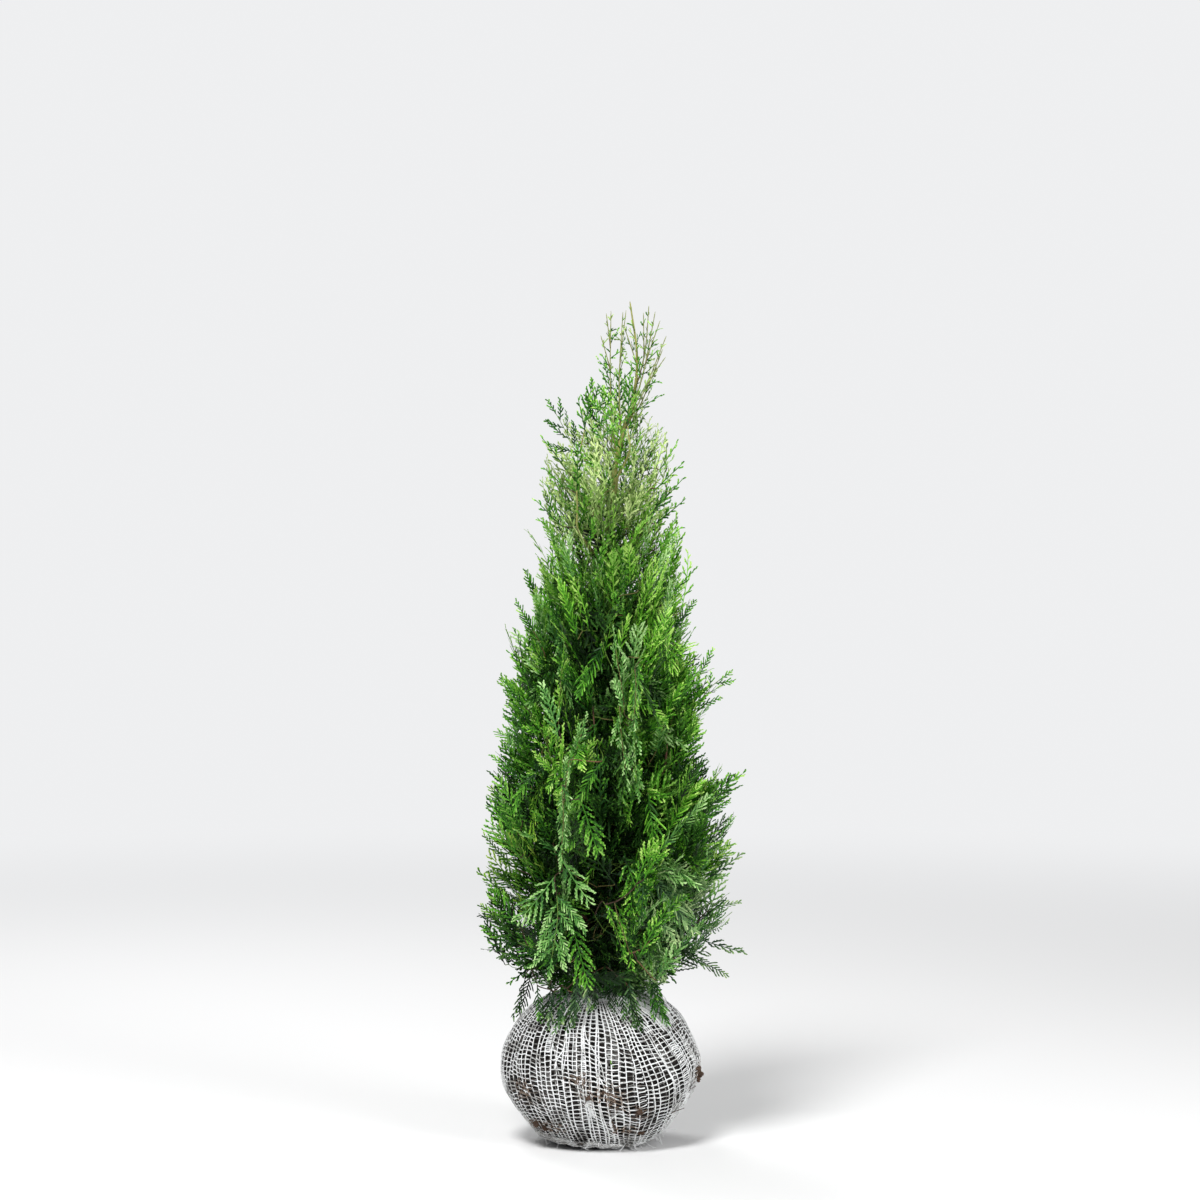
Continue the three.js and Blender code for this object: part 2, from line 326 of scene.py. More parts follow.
@dataclass(frozen=True)
class GrainFinish:
    """Bark or soil: two colours mixed by the grain group, which also roughens the surface."""

    name: str
    dark: tuple[float, float, float]
    light: tuple[float, float, float]
    scale: float
    stretch: float
    blend: float
    relief: float
    roughness: float
    young: tuple[float, float, float] | None = None
    young_heights: tuple[float, float] = (0.0, 1.0)
    ramp: tuple[float, float] = (0.38, 0.66)
    spread: tuple[float, float] = (-0.12, 0.10)
    bump: float = 0.7
    specular: float = 0.25

    def material(self, group: bpy.types.ShaderNodeTree) -> Material:
        """The material.

        Args:
            group: The grain group.

        Returns:
            A material that reads Object coordinates.
        """
        made = bpy.data.materials.new(self.name)
        made.use_nodes = True
        tree, new = made.node_tree, made.node_tree.nodes.new
        shader = tree.nodes["Principled BSDF"]
        grain, ramp = new("ShaderNodeGroup"), new("ShaderNodeValToRGB")
        rough, bump = new("ShaderNodeMapRange"), new("ShaderNodeBump")
        grain.node_tree = group
        grain.inputs["Scale"].default_value = self.scale
        grain.inputs["Stretch"].default_value = self.stretch
        grain.inputs["Blend"].default_value = self.blend
        for end, place, tint in zip(ramp.color_ramp.elements, self.ramp, (self.dark, self.light)):
            end.position, end.color = place, (*tint, 1)
        colour = (ramp, "Color")
        if self.young:
            place, parts = new("ShaderNodeTexCoord"), new("ShaderNodeSeparateXYZ")
            rise, mix = new("ShaderNodeMapRange"), new("ShaderNodeMix")
            rise.inputs["From Min"].default_value, rise.inputs["From Max"].default_value = self.young_heights
            mix.data_type = "RGBA"
            mix.inputs["B"].default_value = (*self.young, 1)
            wired(
                tree,
                (place, "Object", parts, "Vector"),
                (parts, "Z", rise, "Value"),
                (rise, "Result", mix, "Factor"),
                (ramp, "Color", mix, "A"),
            )
            colour = (mix, "Result")
        rough.inputs["To Min"].default_value = self.roughness + self.spread[0]
        rough.inputs["To Max"].default_value = min(self.roughness + self.spread[1], 1)
        bump.inputs["Strength"].default_value = self.bump
        bump.inputs["Distance"].default_value = self.relief
        shader.inputs["Specular IOR Level"].default_value = self.specular
        wired(
            tree,
            (grain, "Mask", ramp, "Fac"),
            (*colour, shader, "Base Color"),
            (grain, "Height", rough, "Value"),
            (rough, "Result", shader, "Roughness"),
            (grain, "Height", bump, "Height"),
            (bump, "Normal", shader, "Normal"),
        )
        return made


class Hue(Enum):
    """The families of green that sprays are dealt, each with its inner, body, tip and new-growth colour. The
    new-growth colour also stands in for a painted highlight, and the shaded family is painted shade.
    """

    FRESH = ((0.015, 0.070, 0.005), (0.052, 0.205, 0.010), (0.155, 0.40, 0.032), (0.36, 0.60, 0.12))
    MID = ((0.007, 0.044, 0.004), (0.030, 0.130, 0.007), (0.085, 0.28, 0.019), (0.21, 0.44, 0.068))
    # Painted shade: the darkest greens, dealt to sprays deep in the crown, set back in its gaps and low down.
    DEEP = ((0.003, 0.013, 0.002), (0.009, 0.036, 0.004), (0.025, 0.085, 0.010), (0.07, 0.18, 0.025))
    PALE = ((0.030, 0.11, 0.022), (0.080, 0.225, 0.042), (0.19, 0.39, 0.10), (0.36, 0.57, 0.22))
    YELLOW = ((0.022, 0.075, 0.006), (0.072, 0.19, 0.011), (0.17, 0.35, 0.027), (0.36, 0.52, 0.09))
    GREY = ((0.02, 0.055, 0.02), (0.07, 0.15, 0.048), (0.17, 0.29, 0.105), (0.34, 0.47, 0.20))
    CREST = ((0.045, 0.080, 0.022), (0.145, 0.235, 0.060), (0.32, 0.47, 0.14), (0.53, 0.65, 0.27))


class Tone(Enum):
    """Where on a spray a blade grows, which picks the colour of its hue."""

    INNER = 0
    BODY = 1
    TIP = 2
    # New growth, lighter and paler, which also serves as a painted highlight.
    NEW = 3


class Stem(Enum):
    """The wood of twigs by age."""

    BROWN = (0.048, 0.027, 0.016)
    RUST = (0.12, 0.066, 0.028)
    OLIVE = (0.13, 0.11, 0.035)
    GREEN = (0.10, 0.18, 0.025)
    YOUNG = (0.21, 0.235, 0.075)

    @property
    def place(self) -> int:
        """Its place in the list of stem materials."""
        return list(Stem).index(self)


@dataclass
class Palette:
    """Every material of the plant, made once."""

    def __post_init__(self) -> None:
        """Builds the plain materials of sprays, twigs and net, and the grained ones."""
        grain = grain_group()
        self.sprays = [
            PlainFinish(f"spray_{h.name.lower()}_{t.name.lower()}", h.value[t.value], 0.46, 0.14).material()
            for h in Hue
            for t in Tone
        ]
        self.stems = [PlainFinish(f"stem_{s.name.lower()}", s.value, 0.6, 0.3).material() for s in Stem]
        # The dull and soiled net colours are partly dirt and partly painted shade, for the net's left side
        # and its inner layer.
        self.net = [
            PlainFinish("net_clean", (0.88, 0.89, 0.89), 0.45, 0.4).material(),
            PlainFinish("net_dull_and_shaded", (0.47, 0.47, 0.455), 0.55, 0.35).material(),
            PlainFinish("net_soiled_and_shaded", (0.080, 0.074, 0.068), 0.7, 0.3).material(),
            PlainFinish("net_earthy", (0.23, 0.175, 0.135), 0.8, 0.2).material(),
        ]
        self.bark = GrainFinish(
            "bark", (0.035, 0.018, 0.011), (0.17, 0.092, 0.055), 210, 0.14, 0.45, 0.0012, 0.85,
            young=(0.27, 0.27, 0.08), young_heights=(0.62, 0.82),
        ).material(grain)
        self.soil = GrainFinish(
            "soil", (0.0035, 0.0032, 0.0030), (0.030, 0.0245, 0.021), 120, 1, 0.6, 0.002, 0.92
        ).material(grain)
        self.clod = PlainFinish("clod", (0.075, 0.048, 0.034), 0.95, 0.2).material()

    @staticmethod
    def spray_index(hue: Hue, tone: Array) -> Array:
        """Places in the list of spray materials, from a spray's hue and its triangles' tones."""
        return list(Hue).index(hue) * len(Tone) + tone


# ---- What the frame holds ----


@dataclass(frozen=True)
class Solid:
    """A node of the frame as merged points and triangles."""

    name: str

    def arrays(self) -> tuple[Array, Array]:
        """Reads the node.

        Returns:
            Its vertices and its triangles.
        """
        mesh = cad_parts[self.name].data
        points = np.empty(len(mesh.vertices) * 3)
        mesh.vertices.foreach_get("co", points)
        mesh.calc_loop_triangles()
        corners = np.empty(len(mesh.loop_triangles) * 3, dtype=np.int32)
        mesh.loop_triangles.foreach_get("vertices", corners)
        return points.reshape(-1, 3), corners.reshape(-1, 3)

    def slices(self, heights: Array) -> tuple[Array, Array]:
        """Where the node passes each height.

        Args:
            heights: Heights inside the node, in metres.

        Returns:
            The middle of each level slice, and its least half-width.
        """
        points, corners = self.arrays()
        edges = points[corners[:, [0, 1, 1, 2, 2, 0]].reshape(-1, 2)]
        middles, reaches = [], []
        for height in heights:
            a, b = edges[:, 0], edges[:, 1]
            crossing = (a[:, 2] < height) != (b[:, 2] < height)
            a, b = a[crossing], b[crossing]
            share = ((height - a[:, 2]) / (b[:, 2] - a[:, 2]))[:, None]
            cut = a + (b - a) * share
            low, high = cut.min(0), cut.max(0)
            middles.append((low + high) / 2)
            reaches.append((high - low)[:2].min() / 2)
        return np.array(middles), np.array(reaches)


def nodes_named(prefix: str) -> list[str]:
    """The names of the frame's nodes that start with a prefix, in order."""
    return sorted(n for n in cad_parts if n.startswith(prefix))


# ---- Sprays: flat, twice-branched fans of scale-leaf blades ----


@dataclass(frozen=True)
class Outline:
    """How a kind of spray is cut.

    The breadth is the longest side rib as a share of the spray. Pitch and width are those of its side ribs.
    Finer is the pitch of the blades that these carry, and 0 where they carry none. Teeth is their reach.
    """

    breadth: float
    splay: float
    pitch: float
    width: float
    finer: float
    teeth: float
    longer: float

    @property
    def twice(self) -> bool:
        """Whether the side ribs carry blades of their own."""
        return self.finer > 0


class Form(Enum):
    """The kinds of spray: fans, plumes and open sprigs are branched twice, and combs and tassels once."""

    FAN = Outline(0.42, 0.80, 5.2 * MM, 2.1 * MM, 2.5 * MM, 6.6 * MM, 1.0)
    PLUME = Outline(0.29, 0.68, 4.9 * MM, 2.1 * MM, 2.5 * MM, 6.6 * MM, 1.05)
    COMB = Outline(0.25, 0.80, 2.5 * MM, 1.9 * MM, 0.0, 0.0, 0.9)
    TASSEL = Outline(0.15, 0.50, 3.2 * MM, 1.9 * MM, 0.0, 0.0, 1.1)
    SPRIG = Outline(0.21, 0.76, 7.2 * MM, 2.1 * MM, 5.8 * MM, 9.6 * MM, 1.0)


@dataclass
class Spray:
    """One flat spray: where it springs from, how it lies and what it looks like."""

    base: Array
    along: Array
    facing: Array
    length: float
    form: Form = Form.FAN
    arch: float = 0.0
    cup: float = 0.0
    sway: float = 0.0
    hue: Hue = Hue.MID
    youth_and_light: float = 0.5
    thin_out: float = 1.0


# Cross-rows of short blades: how far along the blade each lies, and its share of the full width.
CUTS = {
    2: ((0.0, 0.55), (0.66, 1.0)),
    3: ((0.0, 0.34, 0.76), (0.5, 0.95, 1.0)),
    4: ((0.0, 0.3, 0.55, 0.85), (0.55, 1.05, 0.8, 1.0)),
}


@dataclass
class SprayMaker:
    """Turns sprays into blades: a rib, alternate side ribs, and on some kinds blades set along those."""

    rng: np.random.Generator
    rib_width: float = 1.5 * MM
    ribbed: tuple[float, float] = (0.06, 0.985)
    unevenness: float = 0.12
    swell_by: float = 0.3
    narrow: float = 0.18
    least_breadth: float = 7.5 * MM
    least_rib: float = 3.2 * MM
    least_blade: float = 3.4 * MM
    grown_rib: float = 24 * MM
    blade_splay: float = 0.5
    close_in: float = 0.34
    roll: float = 0.3
    fingers: float = 0.16
    steps: tuple[float, float, float] = (0.32, 0.62, 0.92)

    def make(self, spray: Spray, heap: Heap) -> None:
        """Adds one spray's blades to a heap.

        Args:
            spray: The spray.
            heap: The heap that takes its triangles.
        """
        rng, length, cut = self.rng, spray.length, spray.form.value
        # Side ribs, alternate along the rib.
        pitch = cut.pitch * spray.thin_out * rng.uniform(0.92, 1.1)
        first, last = self.ribbed
        at = np.arange(length * first + pitch * rng.random() * 0.5, length * last, pitch)
        if len(at) < 2:
            at = np.array([length * 0.3, length * 0.6])
        at = np.maximum(at + rng.normal(0, pitch * self.unevenness, len(at)), 0)
        share = at / length
        side = np.where(np.arange(len(at)) % 2 == 0, 1.0, -1.0) * rng.choice((-1, 1))
        swell = np.minimum(share / self.swell_by, 1) ** 0.7 * (1 - smoothstep(share, 0.25, 1.12)) ** 0.6
        uneven = rng.uniform(0.6, 1.2, len(at)) if cut.twice else rng.uniform(0.55, 1.3, len(at))
        widest = max(length * cut.breadth, self.least_breadth) * rng.uniform(0.85, 1.15)
        reach = widest * (self.narrow + (1 - self.narrow) * swell) * uneven
        reach = np.maximum(np.minimum(reach, (length - at) * 0.95 + 6 * MM), self.least_rib)
        splay = side * (cut.splay * (1.05 - 0.25 * share) * rng.uniform(0.82, 1.12, len(at)))
        lift = rng.normal(0, 0.1, len(at))
        base = np.stack([at, np.zeros_like(at), np.zeros_like(at)], -1)
        finger = rng.normal(0, self.fingers, len(at))
        rib = self._blades(
            np.zeros((1, 3)), np.zeros(1), np.zeros(1), np.zeros(1),
            np.array([length]), np.array([self.rib_width]), 8,
        )
        rows = 3 if cut.twice or spray.thin_out > 1 else 4
        roll = 0.0 if cut.twice else rng.normal(0, self.roll, len(at))
        width = np.full(len(at), cut.width)
        ribs = self._blades(base, splay, -side * self.close_in, lift, reach, width, rows, roll)
        draw = 0.55 * share + 0.2 + finger if cut.twice else 0.6 * share + 0.2 + 1.5 * finger
        self._add(heap, spray, rib, np.array([0.35]))
        self._add(heap, spray, ribs, draw)
        if cut.twice:
            self._finer(heap, spray, base, splay, side, reach, lift, 0.5 * share + finger)

    def _finer(
        self, heap: Heap, spray: Spray, base: Array, splay: Array, side: Array, reach: Array, lift: Array,
        draw: Array,
    ) -> None:
        """Adds the blades that stand alternately along each side rib, the longer the further in.

        Args:
            heap: Where they go.
            spray: Their spray.
            base: Roots of the side ribs in the spray's plane.
            splay: Their headings.
            side: 1 or -1 for the side they grow on.
            reach: Their lengths.
            lift: Their slopes off the plane.
            draw: How light each side rib's blades are.
        """
        rng = self.rng
        pitch = spray.form.value.finer * spray.thin_out
        counts = np.maximum((reach * 0.95 / pitch).astype(int), 1)
        owner = np.repeat(np.arange(len(reach)), counts)
        order = np.concatenate([np.arange(n) for n in counts])
        along = (order + 0.7) * pitch + rng.normal(0, pitch * 0.13, len(owner))
        inner = np.clip(along / reach[owner], 0.05, 0.97)
        hand = np.where((order + owner) % 2 == 0, 1.0, -1.0)
        bent = splay[owner] - side[owner] * self.close_in * inner
        middle = splay[owner] - side[owner] * self.close_in * inner / 2
        way = np.stack([np.cos(middle), np.sin(middle), lift[owner]], -1)
        root = base[owner] + way * (reach[owner] * inner)[:, None]
        grown = np.minimum(1, reach[owner] / self.grown_rib) ** 0.5
        size = spray.form.value.teeth * grown * (1.1 - 0.6 * inner) * rng.uniform(0.6, 1.15, len(owner))
        heading = bent + hand * self.blade_splay * rng.uniform(0.75, 1.15, len(owner))
        size = np.maximum(size, self.least_blade)
        slope = lift[owner] + rng.normal(0, 0.17, len(owner))
        width = spray.form.value.width * rng.uniform(0.76, 1.06, len(owner))
        roll = rng.normal(0, self.roll, len(owner))
        blades = self._blades(root, heading, -hand * self.close_in * 0.8, slope, size, width, 2, roll)
        self._add(heap, spray, blades, draw[owner] + 0.5 * inner + rng.normal(0, 0.25, len(owner)))

    def _add(self, heap: Heap, spray: Spray, blades: tuple[Array, Array, Array], draw: Array) -> None:
        """Places blades on the spray's surface, with tones that run from dark roots to light tips.

        Args:
            heap: Where they go.
            spray: Their spray.
            blades: Their points, triangles and ranks.
            draw: How light each blade is.
        """
        points, corners, rank = blades
        # The spray's lightness, which holds painted light and shade as well as new growth, shifts every
        # blade's tone.
        level = draw[:, None] + 0.34 * (rank - 0.35) + 0.6 * (spray.youth_and_light - 0.5)
        tones = np.digitize(level, self.steps).ravel()
        heap.add(self._placed(points, spray), corners, Palette.spray_index(spray.hue, tones))

    @staticmethod
    def _blades(
        base: Array, heading: Array, bend: Array, lift: Array, length: Array, width: Array, stations: int,
        roll: Array | float = 0.0,
    ) -> tuple[Array, Array, Array]:
        """Flat pointed blades in a spray's own plane.

        Args:
            base: Roots (n, 3): along, across and off the plane.
            heading: Direction in the plane, in radians from the rib.
            bend: How far the heading turns by the tip.
            lift: Slope off the plane.
            length: Lengths.
            width: Widths at the fullest.
            stations: Cross-rows before the tip. With more than three, the edges are knobbly.
            roll: How far each blade is rolled about its own length, as a slope.

        Returns:
            Points, triangles, and how far along its blade each triangle lies, from 0 to 1.
        """
        count = len(base)
        if stations in CUTS:
            t, full = (np.array(row) for row in CUTS[stations])
        else:
            t = np.linspace(0, 0.94, stations)
            full = np.where(np.arange(stations) % 2 == 0, 0.8, 1.05) * (1 - 0.4 * t**3)
        ends = np.append(t, 1.0)
        angle = heading[:, None] + bend[:, None] * ends / 2
        spine = np.stack([np.cos(angle), np.sin(angle), np.broadcast_to(lift[:, None], angle.shape)], -1)
        spine = base[:, None] + spine * (length[:, None] * ends)[..., None]
        facing = heading[:, None] + bend[:, None] * t
        slope = np.broadcast_to(np.reshape(roll, (-1, 1)), facing.shape)
        across = unit(np.stack([-np.sin(facing), np.cos(facing), slope], -1))
        half = across * (width[:, None] * full / 2)[..., None]
        rows = np.stack([spine[:, :-1] + half, spine[:, :-1] - half], 2).reshape(count, -1, 3)
        points = np.concatenate([rows, spine[:, -1:]], 1)
        last = len(t) - 1
        row = np.arange(last)[:, None] * 2
        pattern = np.concatenate([row + (0, 1, 3), row + (0, 3, 2), [[2 * last, 2 * last + 1, 2 * last + 2]]])
        rank = np.concatenate([np.arange(last), np.arange(last), [last]]) / max(last, 1)
        corners = (np.arange(count) * points.shape[1])[:, None, None] + pattern
        return points.reshape(-1, 3), corners.reshape(-1, 3), rank

    @staticmethod
    def _placed(points: Array, spray: Spray) -> Array:
        """Carries plane points onto a spray's arched, cupped and swaying surface.

        Args:
            points: Points along, across and off the plane.
            spray: The spray.

        Returns:
            The points in the plant's frame.
        """
        u, v, w = points.T
        side = np.cross(spray.facing, spray.along)
        arch = spray.arch if abs(spray.arch) > 1e-3 else 1e-3
        turn = arch * u / spray.length
        bow = spray.length / arch
        forward = np.sin(turn) * bow
        off = (1 - np.cos(turn)) * bow
        w = w + spray.cup * v * v / spray.length
        v = v + spray.sway * u * u / spray.length
        return (
            spray.base
            + (forward - w * np.sin(turn))[:, None] * spray.along
            + v[:, None] * side
            + (off + w * np.cos(turn))[:, None] * spray.facing
        )


# ---- Wood: trunk and boughs with bark relief ----


@dataclass
class Limb:
    """One tapering limb that is extruded ring by ring along its line."""

    line: Array
    radii: Array
    sides: int
    relief: float
    flare: float = 0.0
    flare_height: float = 28 * MM
    full_relief: float = 6 * MM
    strips: tuple[float, float] = (420.0, 46.0)
    scales: tuple[float, float] = (900.0, 260.0)

    def into(self, shape: bmesh.types.BMesh) -> None:
        """Adds the limb to a shape.

        Args:
            shape: Where it goes.
        """
        frames = self._frames()
        made = bmesh.ops.create_circle(shape, cap_ends=True, segments=self.sides, radius=1, matrix=frames[0])
        ring = made["verts"]
        edges = list(dict.fromkeys(e for v in ring for e in v.link_edges))
        rows = [list(ring)]
        for before, after in zip(frames, frames[1:]):
            made = bmesh.ops.extrude_edge_only(shape, edges=edges)
            ring = [g for g in made["geom"] if isinstance(g, bmesh.types.BMVert)]
            fresh = set(ring)
            edges = [g for g in made["geom"] if isinstance(g, bmesh.types.BMEdge) and set(g.verts) <= fresh]
            bmesh.ops.transform(shape, matrix=after @ before.inverted(), verts=ring)
            rows.append(ring)
        bmesh.ops.contextual_create(shape, geom=edges)
        for centre, row in zip(self.line, rows):
            middle = Vector(centre)
            for vertex in row:
                vertex.co += self._bark(vertex.co, vertex.co - middle)

    def _frames(self) -> list[Matrix]:
        """Lays out the rings.

        Returns:
            A matrix for each ring, that turns as little as it can along the line.
        """
        along = unit(np.gradient(self.line, axis=0))
        side = unit(np.cross(along[0], (0.31, 0.87, 0.2)))
        frames = []
        for point, way, radius in zip(self.line, along, self.radii):
            side = unit(side - way * np.dot(side, way))
            over = np.cross(way, side)
            columns = np.stack([side * radius, over * radius, way * radius], 1)
            frames.append(Matrix.Translation(Vector(point)) @ Matrix(columns.tolist()).to_4x4())
        return frames

    def _bark(self, co: Vector, off: Vector) -> Vector:
        """How far bark stands out of the smooth limb at a point.

        Args:
            co: The point.
            off: Its offset from the limb's middle.

        Returns:
            The shift.
        """
        radius = max(off.length, 1e-5)
        relief = self.relief * min(1.0, radius / self.full_relief)
        strip, scale = (
            noise.noise(Vector((co.x * across, co.y * across, co.z * up)))
            for across, up in (self.strips, self.scales)
        )
        strip = 1 - 2 * abs(strip)
        rise = relief * (0.7 * strip + 0.45 * scale - 0.25)
        if self.flare:
            low = max(0.0, 1 - (co.z - self.line[0][2]) / self.flare_height)
            turn = math.atan2(off.y, off.x)
            rise += self.flare * low * low * (0.6 + 0.5 * math.sin(5 * turn + 0.6) + 0.3 * math.sin(3 * turn))
        return off / radius * rise


def evened(stages: Array, steps: int, rounds: int = 3) -> Array:
    """A smooth line through stages by corner cutting, resampled at even distances.

    Args:
        stages: Its rough points.
        steps: Points of the result.
        rounds: Rounds of corner cutting.

    Returns:
        The line.
    """
    line = stages
    for _ in range(rounds):
        a, b = line[:-1], line[1:]
        cut = np.empty((2 * len(a), 3))
        cut[0::2], cut[1::2] = a * 0.75 + b * 0.25, a * 0.25 + b * 0.75
        line = np.concatenate([line[:1], cut, line[-1:]])
    walked = walked_along(line)
    return between(np.linspace(0, walked[-1], steps), walked, line)


@dataclass
class Trunk:
    """The trunk's line and thickness from the frame, and its bark."""

    palette: Palette
    sunk: float = 3.0 * MM
    slices: int = 90
    rings: int = 260
    sides: int = 28
    relief: float = 0.75 * MM
    flare: float = 3.0 * MM

    def __post_init__(self) -> None:
        """Reads the trunk's line."""
        low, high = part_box("trunk")
        heights = np.linspace(low.z + 1 * MM, high.z - 1.5 * MM, self.slices)
        line, radii = Solid("trunk").slices(heights)
        foot = line[0] * LEVEL + (0, 0, low.z - self.sunk)
        tip = line[-1] + (line[-1] - line[-2]) * 0.3
        self.line = np.concatenate([[foot], line, [tip]])
        self.radii = np.concatenate([[radii[0] * 1.06], radii, [0.6 * MM]])

    def axis(self, height: float) -> Array:
        """The trunk's middle at a height."""
        return between(height, self.line[:, 2], self.line)

    def build(self) -> None:
        """Makes the bark piece."""
        marks = np.linspace(self.line[0, 2], self.line[-1, 2], self.rings)
        line = np.array([self.axis(z) for z in marks])
        radii = np.interp(marks, self.line[:, 2], self.radii)
        radii[-1] *= 0.4
        shape = bmesh.new()
        Limb(line, radii, self.sides, self.relief, flare=self.flare).into(shape)
        piece = barked("trunk_bark", shape, self.palette)
        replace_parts(piece, "trunk")


def barked(name: str, shape: bmesh.types.BMesh, palette: Palette) -> bpy.types.Object:
    """A piece with bark.

    Args:
        name: The piece's name.
        shape: Its shape, which is freed.
        palette: The materials.

    Returns:
        The new piece, which replaces nothing yet.
    """
    bmesh.ops.recalc_face_normals(shape, faces=shape.faces)
    piece = moulded(name, shape, palette.bark)
    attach(piece, "root")
    LOG.info("%s: %d faces", name, len(piece.data.polygons))
    return piece


# ---- Growth: twigs that reach from the limbs to the sprays ----


@dataclass
class Skeleton:
    """The growing wood of one plume: points that a new twig may spring from."""

    points: list[Array] = field(default_factory=list)
    tangents: list[Array] = field(default_factory=list)
    lines: list[tuple[Array, float, float]] = field(default_factory=list)
    thickness: list[Array] = field(default_factory=list)
    turning: float = 0.55
    dropping: float = 0.7
    too_near: float = 4 * MM
    taper: float = 0.72
    twig: float = 0.5 * MM
    stoutness: float = 0.011

    def lay(self, line: Array, thick: float, thin: float, drawn: bool = True) -> None:
        """Adds a line of wood.

        Args:
            line: Its points from the root out.
            thick: Radius at the root.
            thin: Radius at the end.
            drawn: False where another piece already shows it.
        """
        self.points.append(line)
        self.tangents.append(unit(np.gradient(line, axis=0)))
        self.thickness.append(np.linspace(thick, thin, len(line)))
        if drawn:
            self.lines.append((line, thick, thin))

    def reach(self, target: Array, arriving: Array, rng: np.random.Generator) -> None:
        """Grows a twig from the best place on the wood to a target.

        Args:
            target: Where the twig ends.
            arriving: The unit direction in which it ends.
            rng: The plume's random draws.
        """
        points = np.concatenate(self.points)
        tangents = np.concatenate(self.tangents)
        thickness = np.concatenate(self.thickness)
        way = target - points
        far = np.linalg.norm(way, axis=1)
        forward = way @ arriving / np.maximum(far, 1e-6)
        drop = np.maximum(points[:, 2] - target[2], 0)
        cost = far * (1 + self.turning - self.turning * forward) + self.dropping * drop
        cost = cost + np.where(far < self.too_near, 1.0, 0.0)
        best = int(np.argmin(cost))
        gap = far[best]
        straight = way[best] / max(gap, 1e-6)
        leave = unit(tangents[best] * 0.5 + straight + rng.normal(0, 0.1, 3))
        agree = 0.35 + 0.5 * max(0.0, float(straight @ arriving))
        line = hermite(points[best], target, leave * gap * 0.8, arriving * gap * agree, 7)
        thick = min(thickness[best] * self.taper, self.twig + gap * self.stoutness)
        self.lay(line, max(thick, 1.2 * self.twig), self.twig)


@dataclass(frozen=True)
class Habit:
    """How the sprays of the crown grow at one height.

    The shares are those of the fans, plumes, combs and tassels, and the rest are sprigs. The tilt is from
    upright in degrees. Radial is the share of sprays that stand in a plane with the trunk, and so show
    their edge.
    """

    height: float
    length: float
    fans: float
    plumes: float
    combs: float
    tassels: float
    tilt: float
    radial: float
    droop: float
    fullness: float
    depth: float


@dataclass
class Plume:
    """One mass of foliage: its solid, its limb and the wood that its sprays spring from."""

    node: str
    trunk: Trunk
    rng: np.random.Generator
    inward: float = 0.12
    clear: float = 25 * MM
    crest: float = 62 * MM
    stations: int = 60
    least_stations: int = 24
    inside: int = 8

    def __post_init__(self) -> None:
        """Reads the solid and lays out the limb from the trunk to the plume's tip."""
        solid = Solid(self.node)
        self.points, self.corners = solid.arrays()
        low, high = self.points[:, 2].min(), self.points[:, 2].max()
        spine, _ = solid.slices(np.linspace(low, high, 9)[1:-1])
        self.middle = self.points.mean(0)
        self.tip = self.points[np.argmax(self.points[:, 2])]
        arm, radii = self._arm()
        heart = self.trunk.axis(float(arm[0, 2]) - 4 * MM)
        spine = spine - (spine - self.trunk.axis(float(self.middle[2]))) * LEVEL * self.inward
        stages = [heart, *arm, *(p for p in spine if p[2] > arm[-1, 2] + self.clear), self.tip]
        limb = evened(np.array(stages), self.stations)
        left = np.linalg.norm(limb - self.tip, axis=1)
        self.limb = limb[: max(int(np.argmax(left < self.crest)), self.least_stations)]
        walked = np.linspace(0, 1, len(self.limb))
        thick = float(radii[0])
        self.limb_radii = thick * (1 - walked) ** 0.8 * 0.95 + 0.75 * MM
        self.wood = Skeleton()
        self.wood.lay(self.limb[self.inside :], thick * 0.75, 0.7 * MM, drawn=False)
        self._weigh()

    def _arm(self) -> tuple[Array, Array]:
        """Reads the bough that carries the plume.

        Returns:
            Points up its middle, and its half-width at each.
        """
        bough = self.node.replace("foliage", "bough")
        low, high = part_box(bough)
        inset = 0.1 * (high.z - low.z)
        return Solid(bough).slices(np.linspace(low.z + inset, high.z - inset, 8))

    def _weigh(self) -> None:
        """Weights for sampling the side of the solid that faces out of the crown."""
        a, b, c = (self.points[self.corners[:, i]] for i in range(3))
        cross = np.cross(b - a, c - a)
        area = np.linalg.norm(cross, axis=1) / 2
        self.normals = unit(cross)
        centre = (a + b + c) / 3
        outward = (centre - np.array([self.trunk.axis(z) for z in centre[:, 2]])) * LEVEL
        open_side = np.einsum("ij,ij->i", self.normals, unit(outward))
        self.weights = area * np.clip(0.35 + open_side, 0.0, 1.0)

    def surface_points(self, count: int) -> tuple[Array, Array]:
        """Seeded points all over the solid's outer side.

        Args:
            count: How many to draw.

        Returns:
            The points and the surface's normals there.
        """
        a, b, c = (self.points[self.corners[:, i]] for i in range(3))
        picked = self.rng.choice(len(a), size=count, p=self.weights / self.weights.sum())
        root, share = np.sqrt(self.rng.random(count))[:, None], self.rng.random(count)[:, None]
        where = a[picked] * (1 - root) + (b[picked] * (1 - share) + c[picked] * share) * root
        return where, self.normals[picked]


@dataclass(frozen=True)
class Cleft:
    """A shaded gap between the plumes at the front, in millimetres."""

    x: float
    z: float
    half_width: float
    half_height: float

    def holds(self, place: Array) -> bool:
        """Tells what lies in it.

        Args:
            place: A place on the crown.

        Returns:
            True inside.
        """
        across = (place[0] / MM - self.x) / self.half_width
        upward = (place[2] / MM - self.z) / self.half_height
        return place[1] < 0 and across * across + upward * upward < 1


@dataclass(frozen=True)
class Mark:
    """One spray that stands out at the front, in millimetres: base and tip as (x, z)."""

    base: tuple[float, float]
    tip: tuple[float, float]
    form: Form
    hue: Hue
    spin: float = 0.2
    proud: float = 0.0
    youth_and_light: float = 0.7


